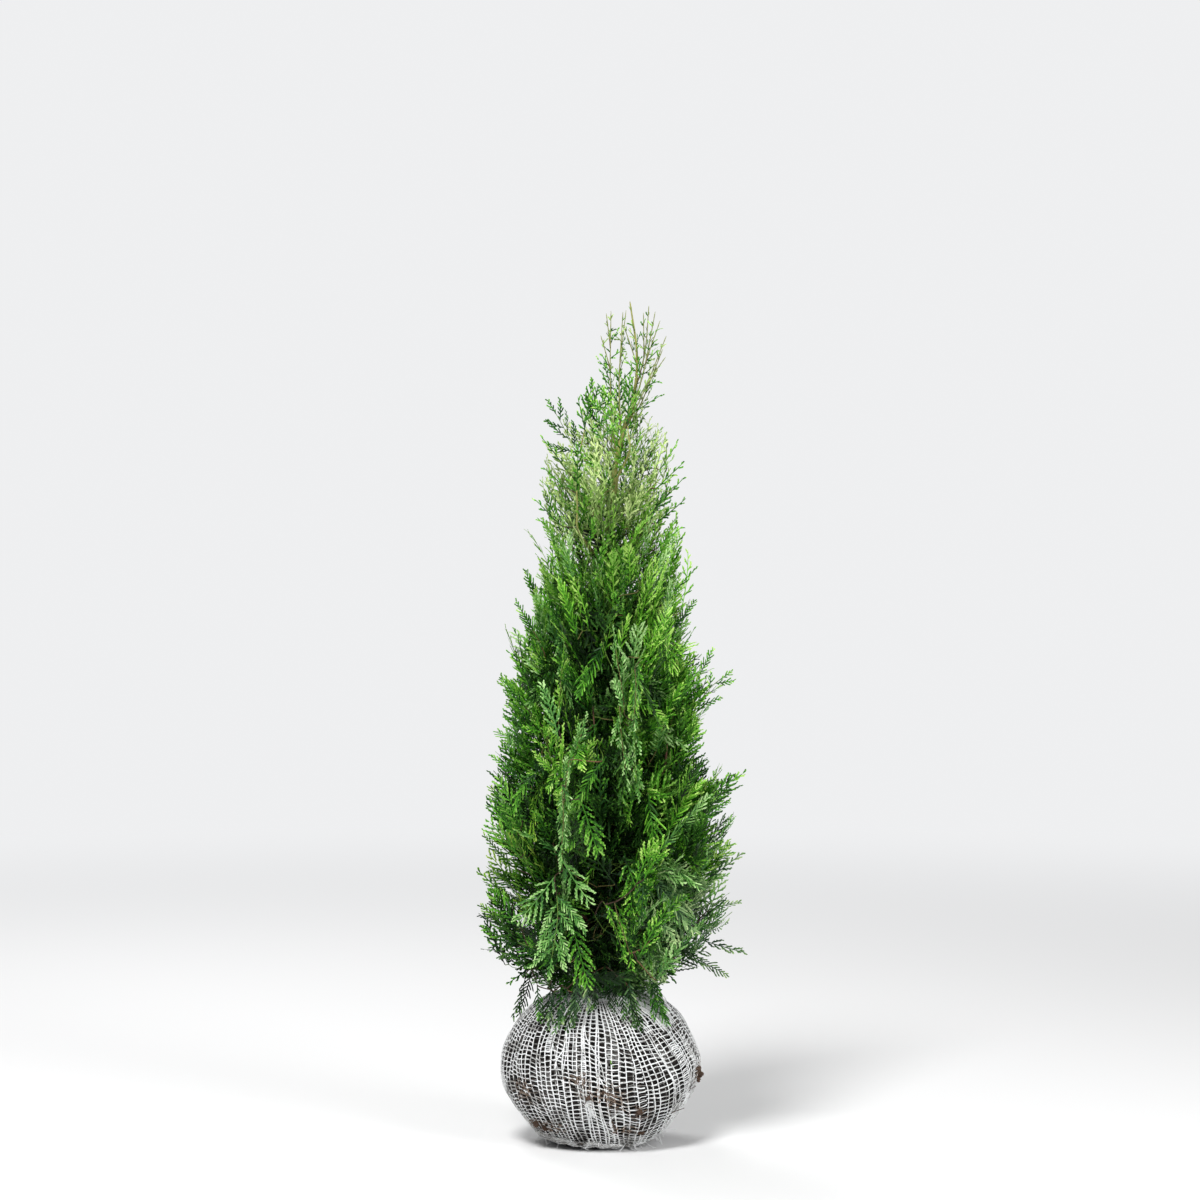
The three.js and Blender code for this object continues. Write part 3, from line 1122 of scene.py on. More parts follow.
@dataclass(frozen=True)
class Seat:
    """Where a marked spray stands, in metres, on whose wood, and the share of its lightness that it keeps,
    less beside the crown as painted shade.
    """

    owner: str
    base: Array
    tip: Array
    lit_share: float


@dataclass(frozen=True)
class Depth:
    """How a layer of sprays sits: how many there are, how deep, how widely set their ribs, and how light."""

    share: float
    depth: float
    spread: float
    wider: float
    youth_and_light: float


class Layer(Enum):
    """The layers of sprays, from the crown's face inwards."""

    # Painted shade: the deeper a layer sits, the darker its sprays are dealt.
    OUTER = Depth(1.0, 0.0, 6 * MM, 1.0, 0.5)
    SECOND = Depth(0.65, 20 * MM, 8 * MM, 1.15, 0.26)
    CORE = Depth(0.40, 48 * MM, 12 * MM, 1.5, 0.1)


@dataclass
class Crown:
    """All the foliage: plumes of sprays on their twigs, and the thin leading shoots.

    The density is the number of outer sprays on a square metre. No spray starts within the core or the
    distance off the trunk.
    """

    palette: Palette
    trunk: Trunk
    seed: int = 4127
    density: float = 1500.0
    bare_core: float = 12 * MM
    off_trunk: float = 9 * MM
    underside: float = 28.0
    hanging: tuple[float, float] = (95.0, 155.0)
    bareness: float = 0.72
    shading: float = 0.85
    under_face: float = 5 * MM
    hollow_depth: float = 30 * MM
    set_back: float = 24 * MM
    strand_rise: float = 9 * MM
    flank_rise: float = 3 * MM
    shoulder: float = 185 * MM
    beside: float = -8 * MM
    in_shade: float = 0.45
    branched: float = 72 * MM
    stalk: float = 1.05 * MM
    fringe: tuple[int, int, int] = (-106, 84, 6)
    fringe_low: float = 164.0
    fringe_lift: float = 17.0
    ages: tuple[float, float, float] = (0.7, 0.85, 0.95)
    clefts: tuple[Cleft, ...] = (
        Cleft(-52, 548, 13, 30), Cleft(-6, 570, 11, 90), Cleft(22, 515, 11, 55),
        Cleft(-12, 355, 16, 85), Cleft(19, 325, 15, 100), Cleft(50, 400, 10, 34),
        Cleft(-30, 240, 22, 45), Cleft(10, 215, 20, 35), Cleft(35, 690, 10, 60),
        Cleft(-88, 480, 9, 50),
    )
    marks: tuple[Mark, ...] = (
        Mark((-38, 500), (-44, 398), Form.TASSEL, Hue.PALE, 1.0, 9),
        Mark((-47, 470), (-52, 372), Form.TASSEL, Hue.PALE, 0.7, 9),
        Mark((-44, 420), (-42, 340), Form.TASSEL, Hue.PALE, 0.8, 12),
        Mark((-50, 380), (-18, 320), Form.FAN, Hue.PALE, 0.1, 14, 0.8),
        Mark((-56, 355), (-97, 298), Form.FAN, Hue.PALE, -0.2, 14, 0.8),
        Mark((-54, 330), (-62, 226), Form.PLUME, Hue.PALE, 0.2, 12),
        Mark((-37, 302), (-14, 220), Form.FAN, Hue.MID, 0.2, 8),
        Mark((4, 322), (32, 248), Form.TASSEL, Hue.FRESH, 0.5, 8, 0.6),
        Mark((18, 322), (40, 236), Form.TASSEL, Hue.FRESH, 0.6, 8, 0.6),
        Mark((43, 612), (45, 515), Form.TASSEL, Hue.PALE, 0.9, 10),
        Mark((44, 535), (50, 448), Form.TASSEL, Hue.PALE, 0.6, 12),
        Mark((-24, 452), (0, 388), Form.FAN, Hue.MID, 0.2, 8),
        Mark((-55, 478), (-86, 552), Form.PLUME, Hue.FRESH, 0.4, 9, 0.9),
        Mark((-58, 470), (-68, 552), Form.TASSEL, Hue.FRESH, 0.8, 9, 0.9),
        Mark((-50, 474), (-45, 542), Form.TASSEL, Hue.FRESH, 0.6, 10, 0.9),
        Mark((-44, 478), (-17, 558), Form.TASSEL, Hue.PALE, 0.5, 10, 0.8),
        Mark((-52, 540), (-44, 640), Form.TASSEL, Hue.FRESH, 1.2, 8, 0.9),
        Mark((30, 556), (18, 665), Form.TASSEL, Hue.PALE, 1.0, 8, 0.8),
        Mark((24, 566), (37, 462), Form.TASSEL, Hue.PALE, 0.9, 12, 0.8),
        Mark((45, 345), (62, 400), Form.FAN, Hue.FRESH, 0.3, 6, 0.7),
        Mark((55, 352), (80, 398), Form.FAN, Hue.FRESH, -0.3, 6, 0.7),
        Mark((62, 275), (84, 326), Form.FAN, Hue.FRESH, 0.5, 4, 0.5),
        Mark((46, 250), (70, 300), Form.FAN, Hue.FRESH, 0.2, 6, 0.6),
        Mark((70, 225), (98, 270), Form.FAN, Hue.PALE, 0.3, 6, 0.6),
        Mark((12, 112), (17, 125), Form.SPRIG, Hue.FRESH, youth_and_light=0.6),
        # Sprays that stick out of the crown's edge, right and then left, from the top down.
        Mark((76, 858), (98, 892), Form.SPRIG, Hue.FRESH),
        Mark((72, 835), (106, 868), Form.SPRIG, Hue.MID, -0.2),
        Mark((72, 812), (106, 845), Form.SPRIG, Hue.FRESH, 0.3),
        Mark((70, 790), (110, 820), Form.SPRIG, Hue.MID),
        Mark((72, 760), (103, 787), Form.SPRIG, Hue.FRESH, 0.0),
        Mark((82, 690), (119, 738), Form.TASSEL, Hue.FRESH, 0.4, 0, 0.8),
        Mark((92, 655), (122, 692), Form.COMB, Hue.MID),
        Mark((118, 548), (170, 598), Form.PLUME, Hue.FRESH, 0.3, 0, 0.8),
        Mark((122, 590), (146, 628), Form.COMB, Hue.FRESH, 0.3, 0, 0.8),
        Mark((128, 440), (178, 477), Form.PLUME, Hue.FRESH, youth_and_light=0.8),
        Mark((126, 418), (162, 443), Form.COMB, Hue.MID),
        Mark((132, 335), (181, 369), Form.PLUME, Hue.GREY, youth_and_light=0.8),
        Mark((138, 300), (176, 315), Form.COMB, Hue.GREY),
        Mark((128, 258), (183, 240), Form.PLUME, Hue.GREY),
        Mark((112, 240), (160, 212), Form.COMB, Hue.GREY, youth_and_light=0.6),
        Mark((-26, 880), (-68, 944), Form.SPRIG, Hue.MID, youth_and_light=0.6),
        Mark((-8, 900), (-10, 972), Form.SPRIG, Hue.MID),
        Mark((-14, 890), (-30, 948), Form.SPRIG, Hue.FRESH),
        Mark((4, 890), (2, 962), Form.SPRIG, Hue.MID),
        Mark((-46, 862), (-70, 900), Form.SPRIG, Hue.FRESH),
        Mark((-44, 835), (-72, 862), Form.SPRIG, Hue.MID),
        Mark((-50, 788), (-80, 820), Form.SPRIG, Hue.FRESH),
        Mark((-52, 768), (-76, 800), Form.SPRIG, Hue.MID),
        Mark((-76, 690), (-100, 727), Form.COMB, Hue.FRESH),
        Mark((-84, 655), (-106, 692), Form.COMB, Hue.FRESH),
        Mark((-94, 560), (-123, 597), Form.COMB, Hue.MID, youth_and_light=0.5),
        Mark((-100, 468), (-134, 504), Form.COMB, Hue.MID, youth_and_light=0.5),
        Mark((-108, 396), (-145, 440), Form.PLUME, Hue.MID, youth_and_light=0.5),
        Mark((-112, 360), (-147, 396), Form.COMB, Hue.YELLOW, youth_and_light=0.4),
        Mark((-112, 310), (-150, 352), Form.PLUME, Hue.YELLOW, 0.1, 0, 0.4),
        Mark((-112, 272), (-151, 310), Form.COMB, Hue.YELLOW, youth_and_light=0.4),
        Mark((-104, 256), (-148, 280), Form.PLUME, Hue.MID, youth_and_light=0.5),
        Mark((-94, 240), (-130, 240), Form.COMB, Hue.DEEP, youth_and_light=0.8),
        Mark((-86, 226), (-117, 206), Form.PLUME, Hue.MID, youth_and_light=0.4),
        Mark((-98, 420), (-130, 470), Form.FAN, Hue.MID, 0.5, 0, 0.9),
        Mark((-100, 372), (-136, 418), Form.FAN, Hue.MID, 0.3, 0, 0.9),
        Mark((-100, 326), (-139, 372), Form.FAN, Hue.YELLOW, 0.5, 0, 0.9),
        Mark((-100, 286), (-141, 330), Form.FAN, Hue.MID, 0.3, 0, 0.8),
        Mark((-96, 254), (-137, 292), Form.FAN, Hue.DEEP, 0.4, 0, 1.0),
        Mark((-88, 228), (-126, 256), Form.FAN, Hue.DEEP, 0.3, 0, 1.2),
    )
    habits: tuple[Habit, ...] = (
        Habit(0.16, 0.074, 0.30, 0.20, 0.35, 0.10, 75, 0.50, 0.60, 1.0, 1.0),
        Habit(0.26, 0.084, 0.33, 0.22, 0.36, 0.07, 50, 0.48, 0.35, 1.0, 1.1),
        Habit(0.40, 0.088, 0.30, 0.24, 0.38, 0.07, 36, 0.48, 0.25, 1.05, 1.1),
        Habit(0.55, 0.086, 0.26, 0.26, 0.40, 0.06, 28, 0.48, 0.15, 1.2, 1.1),
        Habit(0.70, 0.076, 0.16, 0.26, 0.36, 0.05, 20, 0.48, 0.05, 1.45, 0.9),
        Habit(0.80, 0.068, 0.03, 0.12, 0.12, 0.03, 24, 0.48, 0.0, 1.5, 0.5),
        Habit(0.90, 0.062, 0.00, 0.02, 0.00, 0.00, 27, 0.48, 0.0, 1.55, 0.4),
        Habit(1.00, 0.056, 0.00, 0.00, 0.00, 0.00, 27, 0.48, 0.0, 1.5, 0.2),
    )

    def __post_init__(self) -> None:
        """Starts the draws."""
        self.rng = np.random.default_rng(self.seed)
        self.maker = SprayMaker(self.rng)
        self.names = nodes_named("foliage_")
        self.trees = {name: self._tree(name) for name in self.names}
        self.ball = self._tree("net_wrap")
        self.marked = [(mark, self._seat(mark)) for mark in (*self.marks, *self._fringe())]

    @staticmethod
    def _tree(name: str) -> BVHTree:
        """A node's triangles, ready for rays."""
        return BVHTree.FromPolygons(*(a.tolist() for a in Solid(name).arrays()))

    def _fringe(self) -> list[Mark]:
        """Deals the thin dark sprays over the shoulder of the ball, which are shortest over its middle.

        Returns:
            The sprays.
        """
        rng, hung = self.rng, []
        for x in np.arange(*self.fringe):
            x = float(x + rng.normal(0, 3))
            low = self.fringe_low + self.fringe_lift * math.exp(-(((x - 4) / 30) ** 4)) + rng.normal(0, 5)
            if rng.random() < 0.3:
                continue
            hue = (Hue.DEEP, Hue.MID, Hue.GREY)[rng.choice(3, p=(0.4, 0.35, 0.25))]
            form = Form.COMB if rng.random() < 0.6 else Form.PLUME
            base = (x * 0.86 + rng.normal(0, 5), low + rng.uniform(42, 60))
            hung.append(Mark(base, (x, low), form, hue, rng.normal(0, 0.4), 0, rng.uniform(0.3, 0.75)))
        return hung

    def front_of(self, x: float, z: float) -> tuple[str, float]:
        """Finds the mass that is seen first from the front.

        Args:
            x: Place across the plant.
            z: Height.

        Returns:
            Its name, or none beside the crown, and how far back its face is.
        """
        hits = []
        for name, tree in self.trees.items():
            where, _, _, _ = tree.ray_cast(Vector((x, -1, z)), Vector((0, 1, 0)))
            if where:
                hits.append((where.y, name))
        return (min(hits)[1], min(hits)[0]) if hits else ("", 0.0)

    def nearest(self, x: float, z: float) -> str:
        """The mass that is nearest to a place beside the trunk."""
        place = Vector((x, 0, z))
        return min(self.names, key=lambda name: self.trees[name].find_nearest(place)[3])

    def _seat(self, mark: Mark) -> Seat:
        """Sets a marked spray just off the face of the crown, or of the ball.

        Args:
            mark: What is marked.

        Returns:
            Where it stands.
        """
        (bx, bz), (tx, tz) = (np.array(p) * MM for p in (mark.base, mark.tip))
        owner, face = self.front_of((bx + tx) / 2, (bz + tz) / 2)
        ball = tz < self.shoulder and self.ball.ray_cast(Vector((tx, -1, tz)), Vector((0, 1, 0)))[0]
        if ball or not owner:
            owner, face = self.nearest(bx, bz), ball.y if ball else self.beside
        y = face - (6 if ball else mark.proud - 10) * MM
        base = np.array((bx, y + (8 if ball else 4) * MM, bz))
        tip = np.array((tx, y - 4 * MM, tz))
        # Painted shade: a spray whose tip stands beside the crown keeps less of its lightness.
        return Seat(owner, base, tip, 1.0 if self.front_of(tx, tz)[0] else self.in_shade)

    def _marks(self, plume: Plume) -> list[Spray]:
        """Grows the marked sprays that lie in front of a plume or stick out of its side.

        Args:
            plume: The plume, whose wood gets a twig for each.

        Returns:
            The sprays.
        """
        sprays = []
        for mark, seat in self.marked:
            if seat.owner != plume.node:
                continue
            reach = math.hypot(seat.tip[0] - seat.base[0], seat.tip[2] - seat.base[2])
            along = unit(seat.tip - seat.base)
            facing = unit(np.array((0.0, -1.0, 0.0)) + along * along[1])
            plume.wood.reach(seat.base, along, self.rng)
            line, _, thin = plume.wood.lines[-1]
            plume.wood.lines[-1] = (line, self.stalk, thin)
            facing = turned(facing, along, mark.spin)
            if reach > self.branched and mark.form is not Form.FAN:
                sprays += self._frond(plume, mark, seat, facing)
                continue
            sprays.append(
                Spray(
                    seat.base, along, facing, reach * 1.04, form=mark.form, arch=self.rng.normal(0, 0.15),
                    sway=self.rng.normal(0, 0.06), hue=mark.hue, youth_and_light=mark.youth_and_light * seat.lit_share,
                )
            )
        return sprays

    def _frond(self, plume: Plume, mark: Mark, seat: Seat, facing: Array) -> list[Spray]:
        """A long marked spray, as small sprays set alternately along a twig of its own.

        Args:
            plume: The plume whose wood the twig joins.
            mark: What is marked there.
            seat: Where the twig starts, and where its last spray ends.
            facing: The way its flat side looks.

        Returns:
            Its small sprays.
        """
        rng = self.rng
        way = seat.tip - seat.base
        reach = float(np.linalg.norm(way))
        side = unit(np.cross(facing, way))
        bend = [way + side * reach * rng.normal(0, 0.25) for _ in range(2)]
        line = hermite(seat.base, seat.tip, *bend, 24)[:18]
        plume.wood.lay(line, 0.6 * MM, 0.45 * MM)
        narrow = mark.form is Form.TASSEL
        sprays, hand = [], 1
        for share in np.arange(0.06, 0.97, 12 * MM / reach):
            share = float(share + rng.normal(0, 0.012))
            at = min(int(share * 17), 16)
            ahead = unit(line[at + 1] - line[at])
            angle = hand * rng.uniform(0.7, 1.2) * (0.48 if narrow else 0.72)
            size = reach * (0.27 if narrow else 0.42) * (1.15 - 0.5 * share) * rng.uniform(0.7, 1.3)
            along = turned(ahead, facing, angle)
            sprays.append(
                Spray(
                    line[at], along, turned(facing, along, rng.normal(0, 0.35)), max(size, 16 * MM),
                    form=Form.COMB, arch=rng.normal(0, 0.3), sway=-0.12 * hand, hue=mark.hue,
                    youth_and_light=(mark.youth_and_light + rng.normal(0, 0.12)) * seat.lit_share,
                )
            )
            hand = -hand
        ahead = unit(line[-1] - line[-2])
        last = Spray(line[-1], ahead, facing, reach * 0.27, Form.COMB, hue=mark.hue, youth_and_light=mark.youth_and_light)
        return [*sprays, last]

    def habit(self, height: float) -> Habit:
        """Blends the habits below and above a height.

        Args:
            height: The height, in metres.

        Returns:
            The habit there.
        """
        marks = [h.height for h in self.habits]
        keys = [f.name for f in fields(Habit) if f.name != "height"]
        rows = {k: [getattr(h, k) for h in self.habits] for k in keys}
        return Habit(height, **{k: float(np.interp(height, marks, row)) for k, row in rows.items()})

    def hue_at(self, place: Array, layer: Layer) -> Hue:
        """Deals a hue to a spray by where it grows.

        Args:
            place: The spray's tip.
            layer: How deep it sits.

        Returns:
            The hue.
        """
        x, y, z = place
        draw = self.rng.random()
        beside = abs(x) > 0.8 * abs(y) or z > 0.72
        sparse = x > 0.07 and z < 0.36
        if z > 0.8:
            dark = 0.25 if layer is not Layer.OUTER or abs(x - 0.015) > 0.045 else 0.05
            return Hue.MID if draw < dark else Hue.FRESH if draw < 0.36 else Hue.CREST
        if sparse and layer is not Layer.CORE and draw < 0.8:
            return Hue.GREY if draw < 0.62 else Hue.PALE
        # Painted shade: sprays of the deeper layers mostly get the shaded hue.
        if layer is Layer.CORE:
            return Hue.MID if beside and draw < 0.6 else Hue.DEEP
        if layer is Layer.SECOND:
            return Hue.DEEP if draw < (0.2 if beside else 0.9) else Hue.MID
        # Painted shade: many sprays low down get the shaded hue.
        if z < 0.3 and draw < (0.4 if x < -0.07 else 0.5):
            return Hue.DEEP
        if x < -0.07 and z < 0.46 and draw < 0.75:
            return Hue.YELLOW if draw < 0.3 else Hue.MID
        if z > 0.66:
            return Hue.FRESH if draw < 0.5 else Hue.MID if draw < 0.8 else Hue.PALE
        return (
            Hue.FRESH if draw < 0.45
            else Hue.MID if draw < 0.75
            else Hue.DEEP if draw < 0.87
            else Hue.PALE
        )

    def plan(self, plume: Plume) -> list[Spray]:
        """Grows one plume's twigs and says what spray each carries.

        Args:
            plume: The plume.

        Returns:
            Its sprays.
        """
        habit = self.habit(float(plume.middle[2]))
        drawn = []
        for layer in Layer:
            share = layer.value.share * (habit.depth if layer is not Layer.OUTER else 1)
            count = round(plume.weights.sum() * self.density * habit.fullness * share)
            where, normals = plume.surface_points(count)
            kept = (pair for pair in zip(where, normals) if layer is Layer.CORE or not self._bare(pair[0]))
            drawn += [(place, normal, layer) for place, normal in kept]
        start = plume.limb[plume.inside + 2]
        drawn.sort(key=lambda item: float(np.linalg.norm(item[0] - start)))
        crest = plume.tip - plume.limb[-1]
        last = Spray(
            plume.limb[-1], unit(crest), unit(np.cross(crest, (0.6, 0.2, 0.1))), float(np.linalg.norm(crest)),
            form=Form.PLUME, hue=Hue.MID, youth_and_light=0.6,
        )
        grown = [self._spray(plume, *item) for item in drawn]
        return [last, *grown, *self._marks(plume)]

    def _spray(self, plume: Plume, place: Array, normal: Array, layer: Layer) -> Spray:
        """Grows one spray whose tip comes near a place.

        Args:
            plume: The plume, whose wood gets a twig for it.
            place: The place on the plume's face.
            normal: The face's direction there.
            layer: How deep the spray sits.

        Returns:
            The spray.
        """
        rng, deep = self.rng, layer.value
        habit = self.habit(float(place[2]))
        heart = self.trunk.axis(float(place[2]))
        outward = unit((place - heart) * LEVEL)
        # The lower left flank is smooth: its sprays stand up, shorter and closer to the face.
        flank = float(smoothstep(-outward[0], 0.6, 0.9) * (1 - smoothstep(place[2], 0.45, 0.6)))
        tilt = self._tilt(habit, place, normal, outward, flank)
        lean = unit(outward + np.cross(UP, outward) * rng.normal(0, 0.55) + normal * (0.5, 0.5, 0))
        along = UP * math.cos(tilt) + lean * math.sin(tilt)
        form = self._form(habit)
        length = habit.length * rng.uniform(0.7, 1.3) * form.value.longer * (1 - 0.2 * flank)
        flow = self._flow(place) * (1 - 0.8 * flank)
        hollow = layer is Layer.OUTER and self._hollow(place, flow)
        arch = rng.normal(0.3 if tilt < 1.5 else -0.4, 0.28)
        spin = self._spin(habit)
        facing = turned(unit(outward - along * np.dot(outward, along)), along, spin)
        edge = 0.42 * length * form.value.breadth * abs(math.sin(spin))
        sink = deep.depth + rng.normal(0, deep.spread) + self.under_face + edge
        sink += self.hollow_depth if hollow else -self.strand_rise * flow
        sink -= self.flank_rise * flank
        sink = min(sink, float(np.linalg.norm((place - heart)[:2])) - self.bare_core)
        tip = place - outward * sink
        # The surface bows off its first direction, so the base is set back along the mean one.
        mean = unit(along * math.cos(arch / 2) + facing * math.sin(arch / 2))
        base = tip - mean * length * 0.97
        if layer is Layer.OUTER and not hollow and self._in_gap((base + tip) / 2):
            hollow, base = True, base - outward * self.set_back
        clear = (base - self.trunk.axis(float(base[2]))) * LEVEL
        if np.linalg.norm(clear) < self.off_trunk:
            base = base + outward * self.off_trunk
        plume.wood.reach(base, along, rng)
        # Painted shade: a spray set back into a gap keeps the shaded hue and little lightness.
        grown = Spray(
            base, along, facing, length, form=form, arch=arch, cup=rng.normal(0, 0.9),
            sway=rng.normal(0, 0.12), hue=Hue.DEEP, youth_and_light=0.2, thin_out=deep.wider,
        )
        if not hollow:
            grown.hue = self.hue_at(place, layer)
            youth_and_light = rng.normal(self._growth_and_light(place, outward, layer, flow), 0.22)
            grown.youth_and_light = min(max(youth_and_light, 0.0), 1.1 if place[2] > 0.7 else 0.85)
        return grown

    def _form(self, habit: Habit) -> Form:
        """Deals a kind of spray by the habit's shares."""
        kinds = np.cumsum((habit.fans, habit.plumes, habit.combs, habit.tassels))
        return list(Form)[int(np.digitize(self.rng.random(), kinds))]

    def _spin(self, habit: Habit) -> float:
        """Deals how far a spray turns about its own length.

        Args:
            habit: The habit at its height.

        Returns:
            An angle near a right one for a spray that shows its edge, and near 0 for one that shows its face.
        """
        if self.rng.random() < habit.radial:
            return self.rng.normal(math.pi / 2, 0.35) * self.rng.choice((-1, 1))
        return self.rng.normal(0, 0.55)

    def _tilt(self, habit: Habit, place: Array, normal: Array, outward: Array, flank: float) -> float:
        """Deals how far a spray leans from upright, or whether it hangs, as many do at the front.

        Args:
            habit: The habit at its height.
            place: The place of its tip.
            normal: The plume's direction there.
            outward: The level direction away from the trunk.
            flank: 1 on the smooth lower left flank.

        Returns:
            The angle from upright in radians.
        """
        tilt = habit.tilt * self.rng.uniform(0.5, 1.5)
        if normal[2] < -0.35:
            tilt += self.underside
        hanging = 1.5 if outward[1] < -0.6 else 0.0 if flank > 0.4 else 0.6 if place[2] < 0.33 else 0.15
        if self.rng.random() < habit.droop * hanging:
            tilt = self.rng.uniform(*self.hanging)
        return math.radians(tilt)

    @staticmethod
    def _growth_and_light(place: Array, outward: Array, layer: Layer, flow: float) -> float:
        """Works out how light a spray is: lighter high up and a little lighter low on the right. Painted
        light and shade also make it lighter outside and on the upright strands, and darker in the deeper
        layers, low on the left and in the middle, and on the upper crown's flanks.

        Args:
            place: The place of its tip.
            outward: The level direction away from the trunk.
            layer: How deep it sits.
            flow: How far it lies on an upright strand.

        Returns:
            About 0 for the darkest sprays and 1 for the lightest.
        """
        x, _, z = place
        youth_and_light = layer.value.youth_and_light + 0.8 * flow
        youth_and_light += 0.68 * float(smoothstep(z, 0.56, 0.80)) - (0.05 if x < -0.05 else 0.0)
        youth_and_light += 0.2 * float(smoothstep(z, 0.76, 0.9))
        youth_and_light -= 0.25 * float(smoothstep(abs(outward[0]), 0.8, 1.0) * smoothstep(z, 0.72, 0.84))
        lower = 1 - float(smoothstep(z, 0.24, 0.36))
        return youth_and_light + lower * (0.16 if x > 0.06 else -0.42 if x < -0.04 else -0.2)

    def _in_gap(self, place: Array) -> bool:
        """Whether a place lies in one of the low gaps where the limbs show."""
        return any(cleft.holds(place) for cleft in self.clefts if cleft.z < 420)

    def _bare(self, place: Array) -> bool:
        """Whether a place stays empty, as most of the low gaps do."""
        return self._in_gap(place) and self.rng.random() < self.bareness

    def _hollow(self, place: Array, flow: float) -> bool:
        """Draws whether a spray is set back into one of the shaded gaps between the upright strands.

        Args:
            place: The place of its tip.
            flow: How far that lies on an upright strand.

        Returns:
            True for a spray in shade.
        """
        if any(cleft.holds(place) for cleft in self.clefts):
            return self.rng.random() < self.shading
        return flow < -0.2 and place[2] < 0.68

    @staticmethod
    def _flow(place: Array) -> float:
        """How far a place lies on an upright strand rather than between two, about -0.6 to 0.6."""
        bearing = math.atan2(place[1], place[0])
        return noise.noise(Vector((math.cos(bearing) * 3.6, math.sin(bearing) * 3.6, place[2] * 4.2)))

    def build(self) -> None:
        """Grows every plume and makes the joined pieces."""
        twigs, boughs = Heap(), bmesh.new()
        batch, batch_nodes, made = Heap(), [], 0
        for name in self.names:
            plume = Plume(name, self.trunk, self.rng)
            sprays = self.plan(plume)
            heap = Heap()
            for spray in sprays:
                self.maker.make(spray, heap)
            if batch.faces and batch.faces + heap.faces > PIECE_LIMIT:
                made += 1
                self._finish_batch(batch, batch_nodes, made)
                batch, batch_nodes = Heap(), []
            batch.take(heap)
            batch_nodes.append(name)
            Limb(plume.limb, plume.limb_radii, 9, 0.3 * MM).into(boughs)
            self._wood(plume.wood, twigs)
            LOG.info("%s: %d sprays, %d triangles", name, len(sprays), heap.faces)
        batch.take(Leaders(self.palette, self.trunk, self.maker, self.rng).build())
        self._finish_batch(batch, batch_nodes, made + 1)
        piece = twigs.made("twigs", self.palette.stems, smooth=True)
        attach(piece, "root")
        LOG.info("twigs: %d triangles", twigs.faces)
        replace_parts(barked("bough_bark", boughs, self.palette), *nodes_named("bough_"))

    def _finish_batch(self, heap: Heap, nodes: list[str], number: int) -> None:
        """Makes one joined piece of sprays.

        Args:
            heap: Its blades.
            nodes: The masses that it stands for.
            number: Its number.
        """
        piece = heap.made(f"sprays_{number}", self.palette.sprays)
        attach(piece, "root")
        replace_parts(piece, *nodes)
        LOG.info("sprays_%d: %d triangles", number, heap.faces)

    def _wood(self, wood: Skeleton, twigs: Heap) -> None:
        """Adds a plume's twigs, brown where old and green where young.

        Args:
            wood: The plume's wood.
            twigs: Where they go.
        """
        for line, thick, thin in wood.lines:
            radii = np.linspace(thick, thin, len(line))[None]
            vertices, triangles = tubes(line[None], radii, 4, np.array((0.37, 0.61, 0.2)))
            age = thick / MM + self.rng.normal(0, 0.12)
            stem = Stem.GREEN.place - np.digitize(age, self.ages, right=True)
            twigs.add(vertices, triangles, np.full(len(triangles), stem))


@dataclass(frozen=True)
class Fork:
    """A second tip in mm, with the height in metres where it leaves a shoot, or the trunk after the last."""

    shoot: int
    start: float
    tip: tuple[float, float, float]


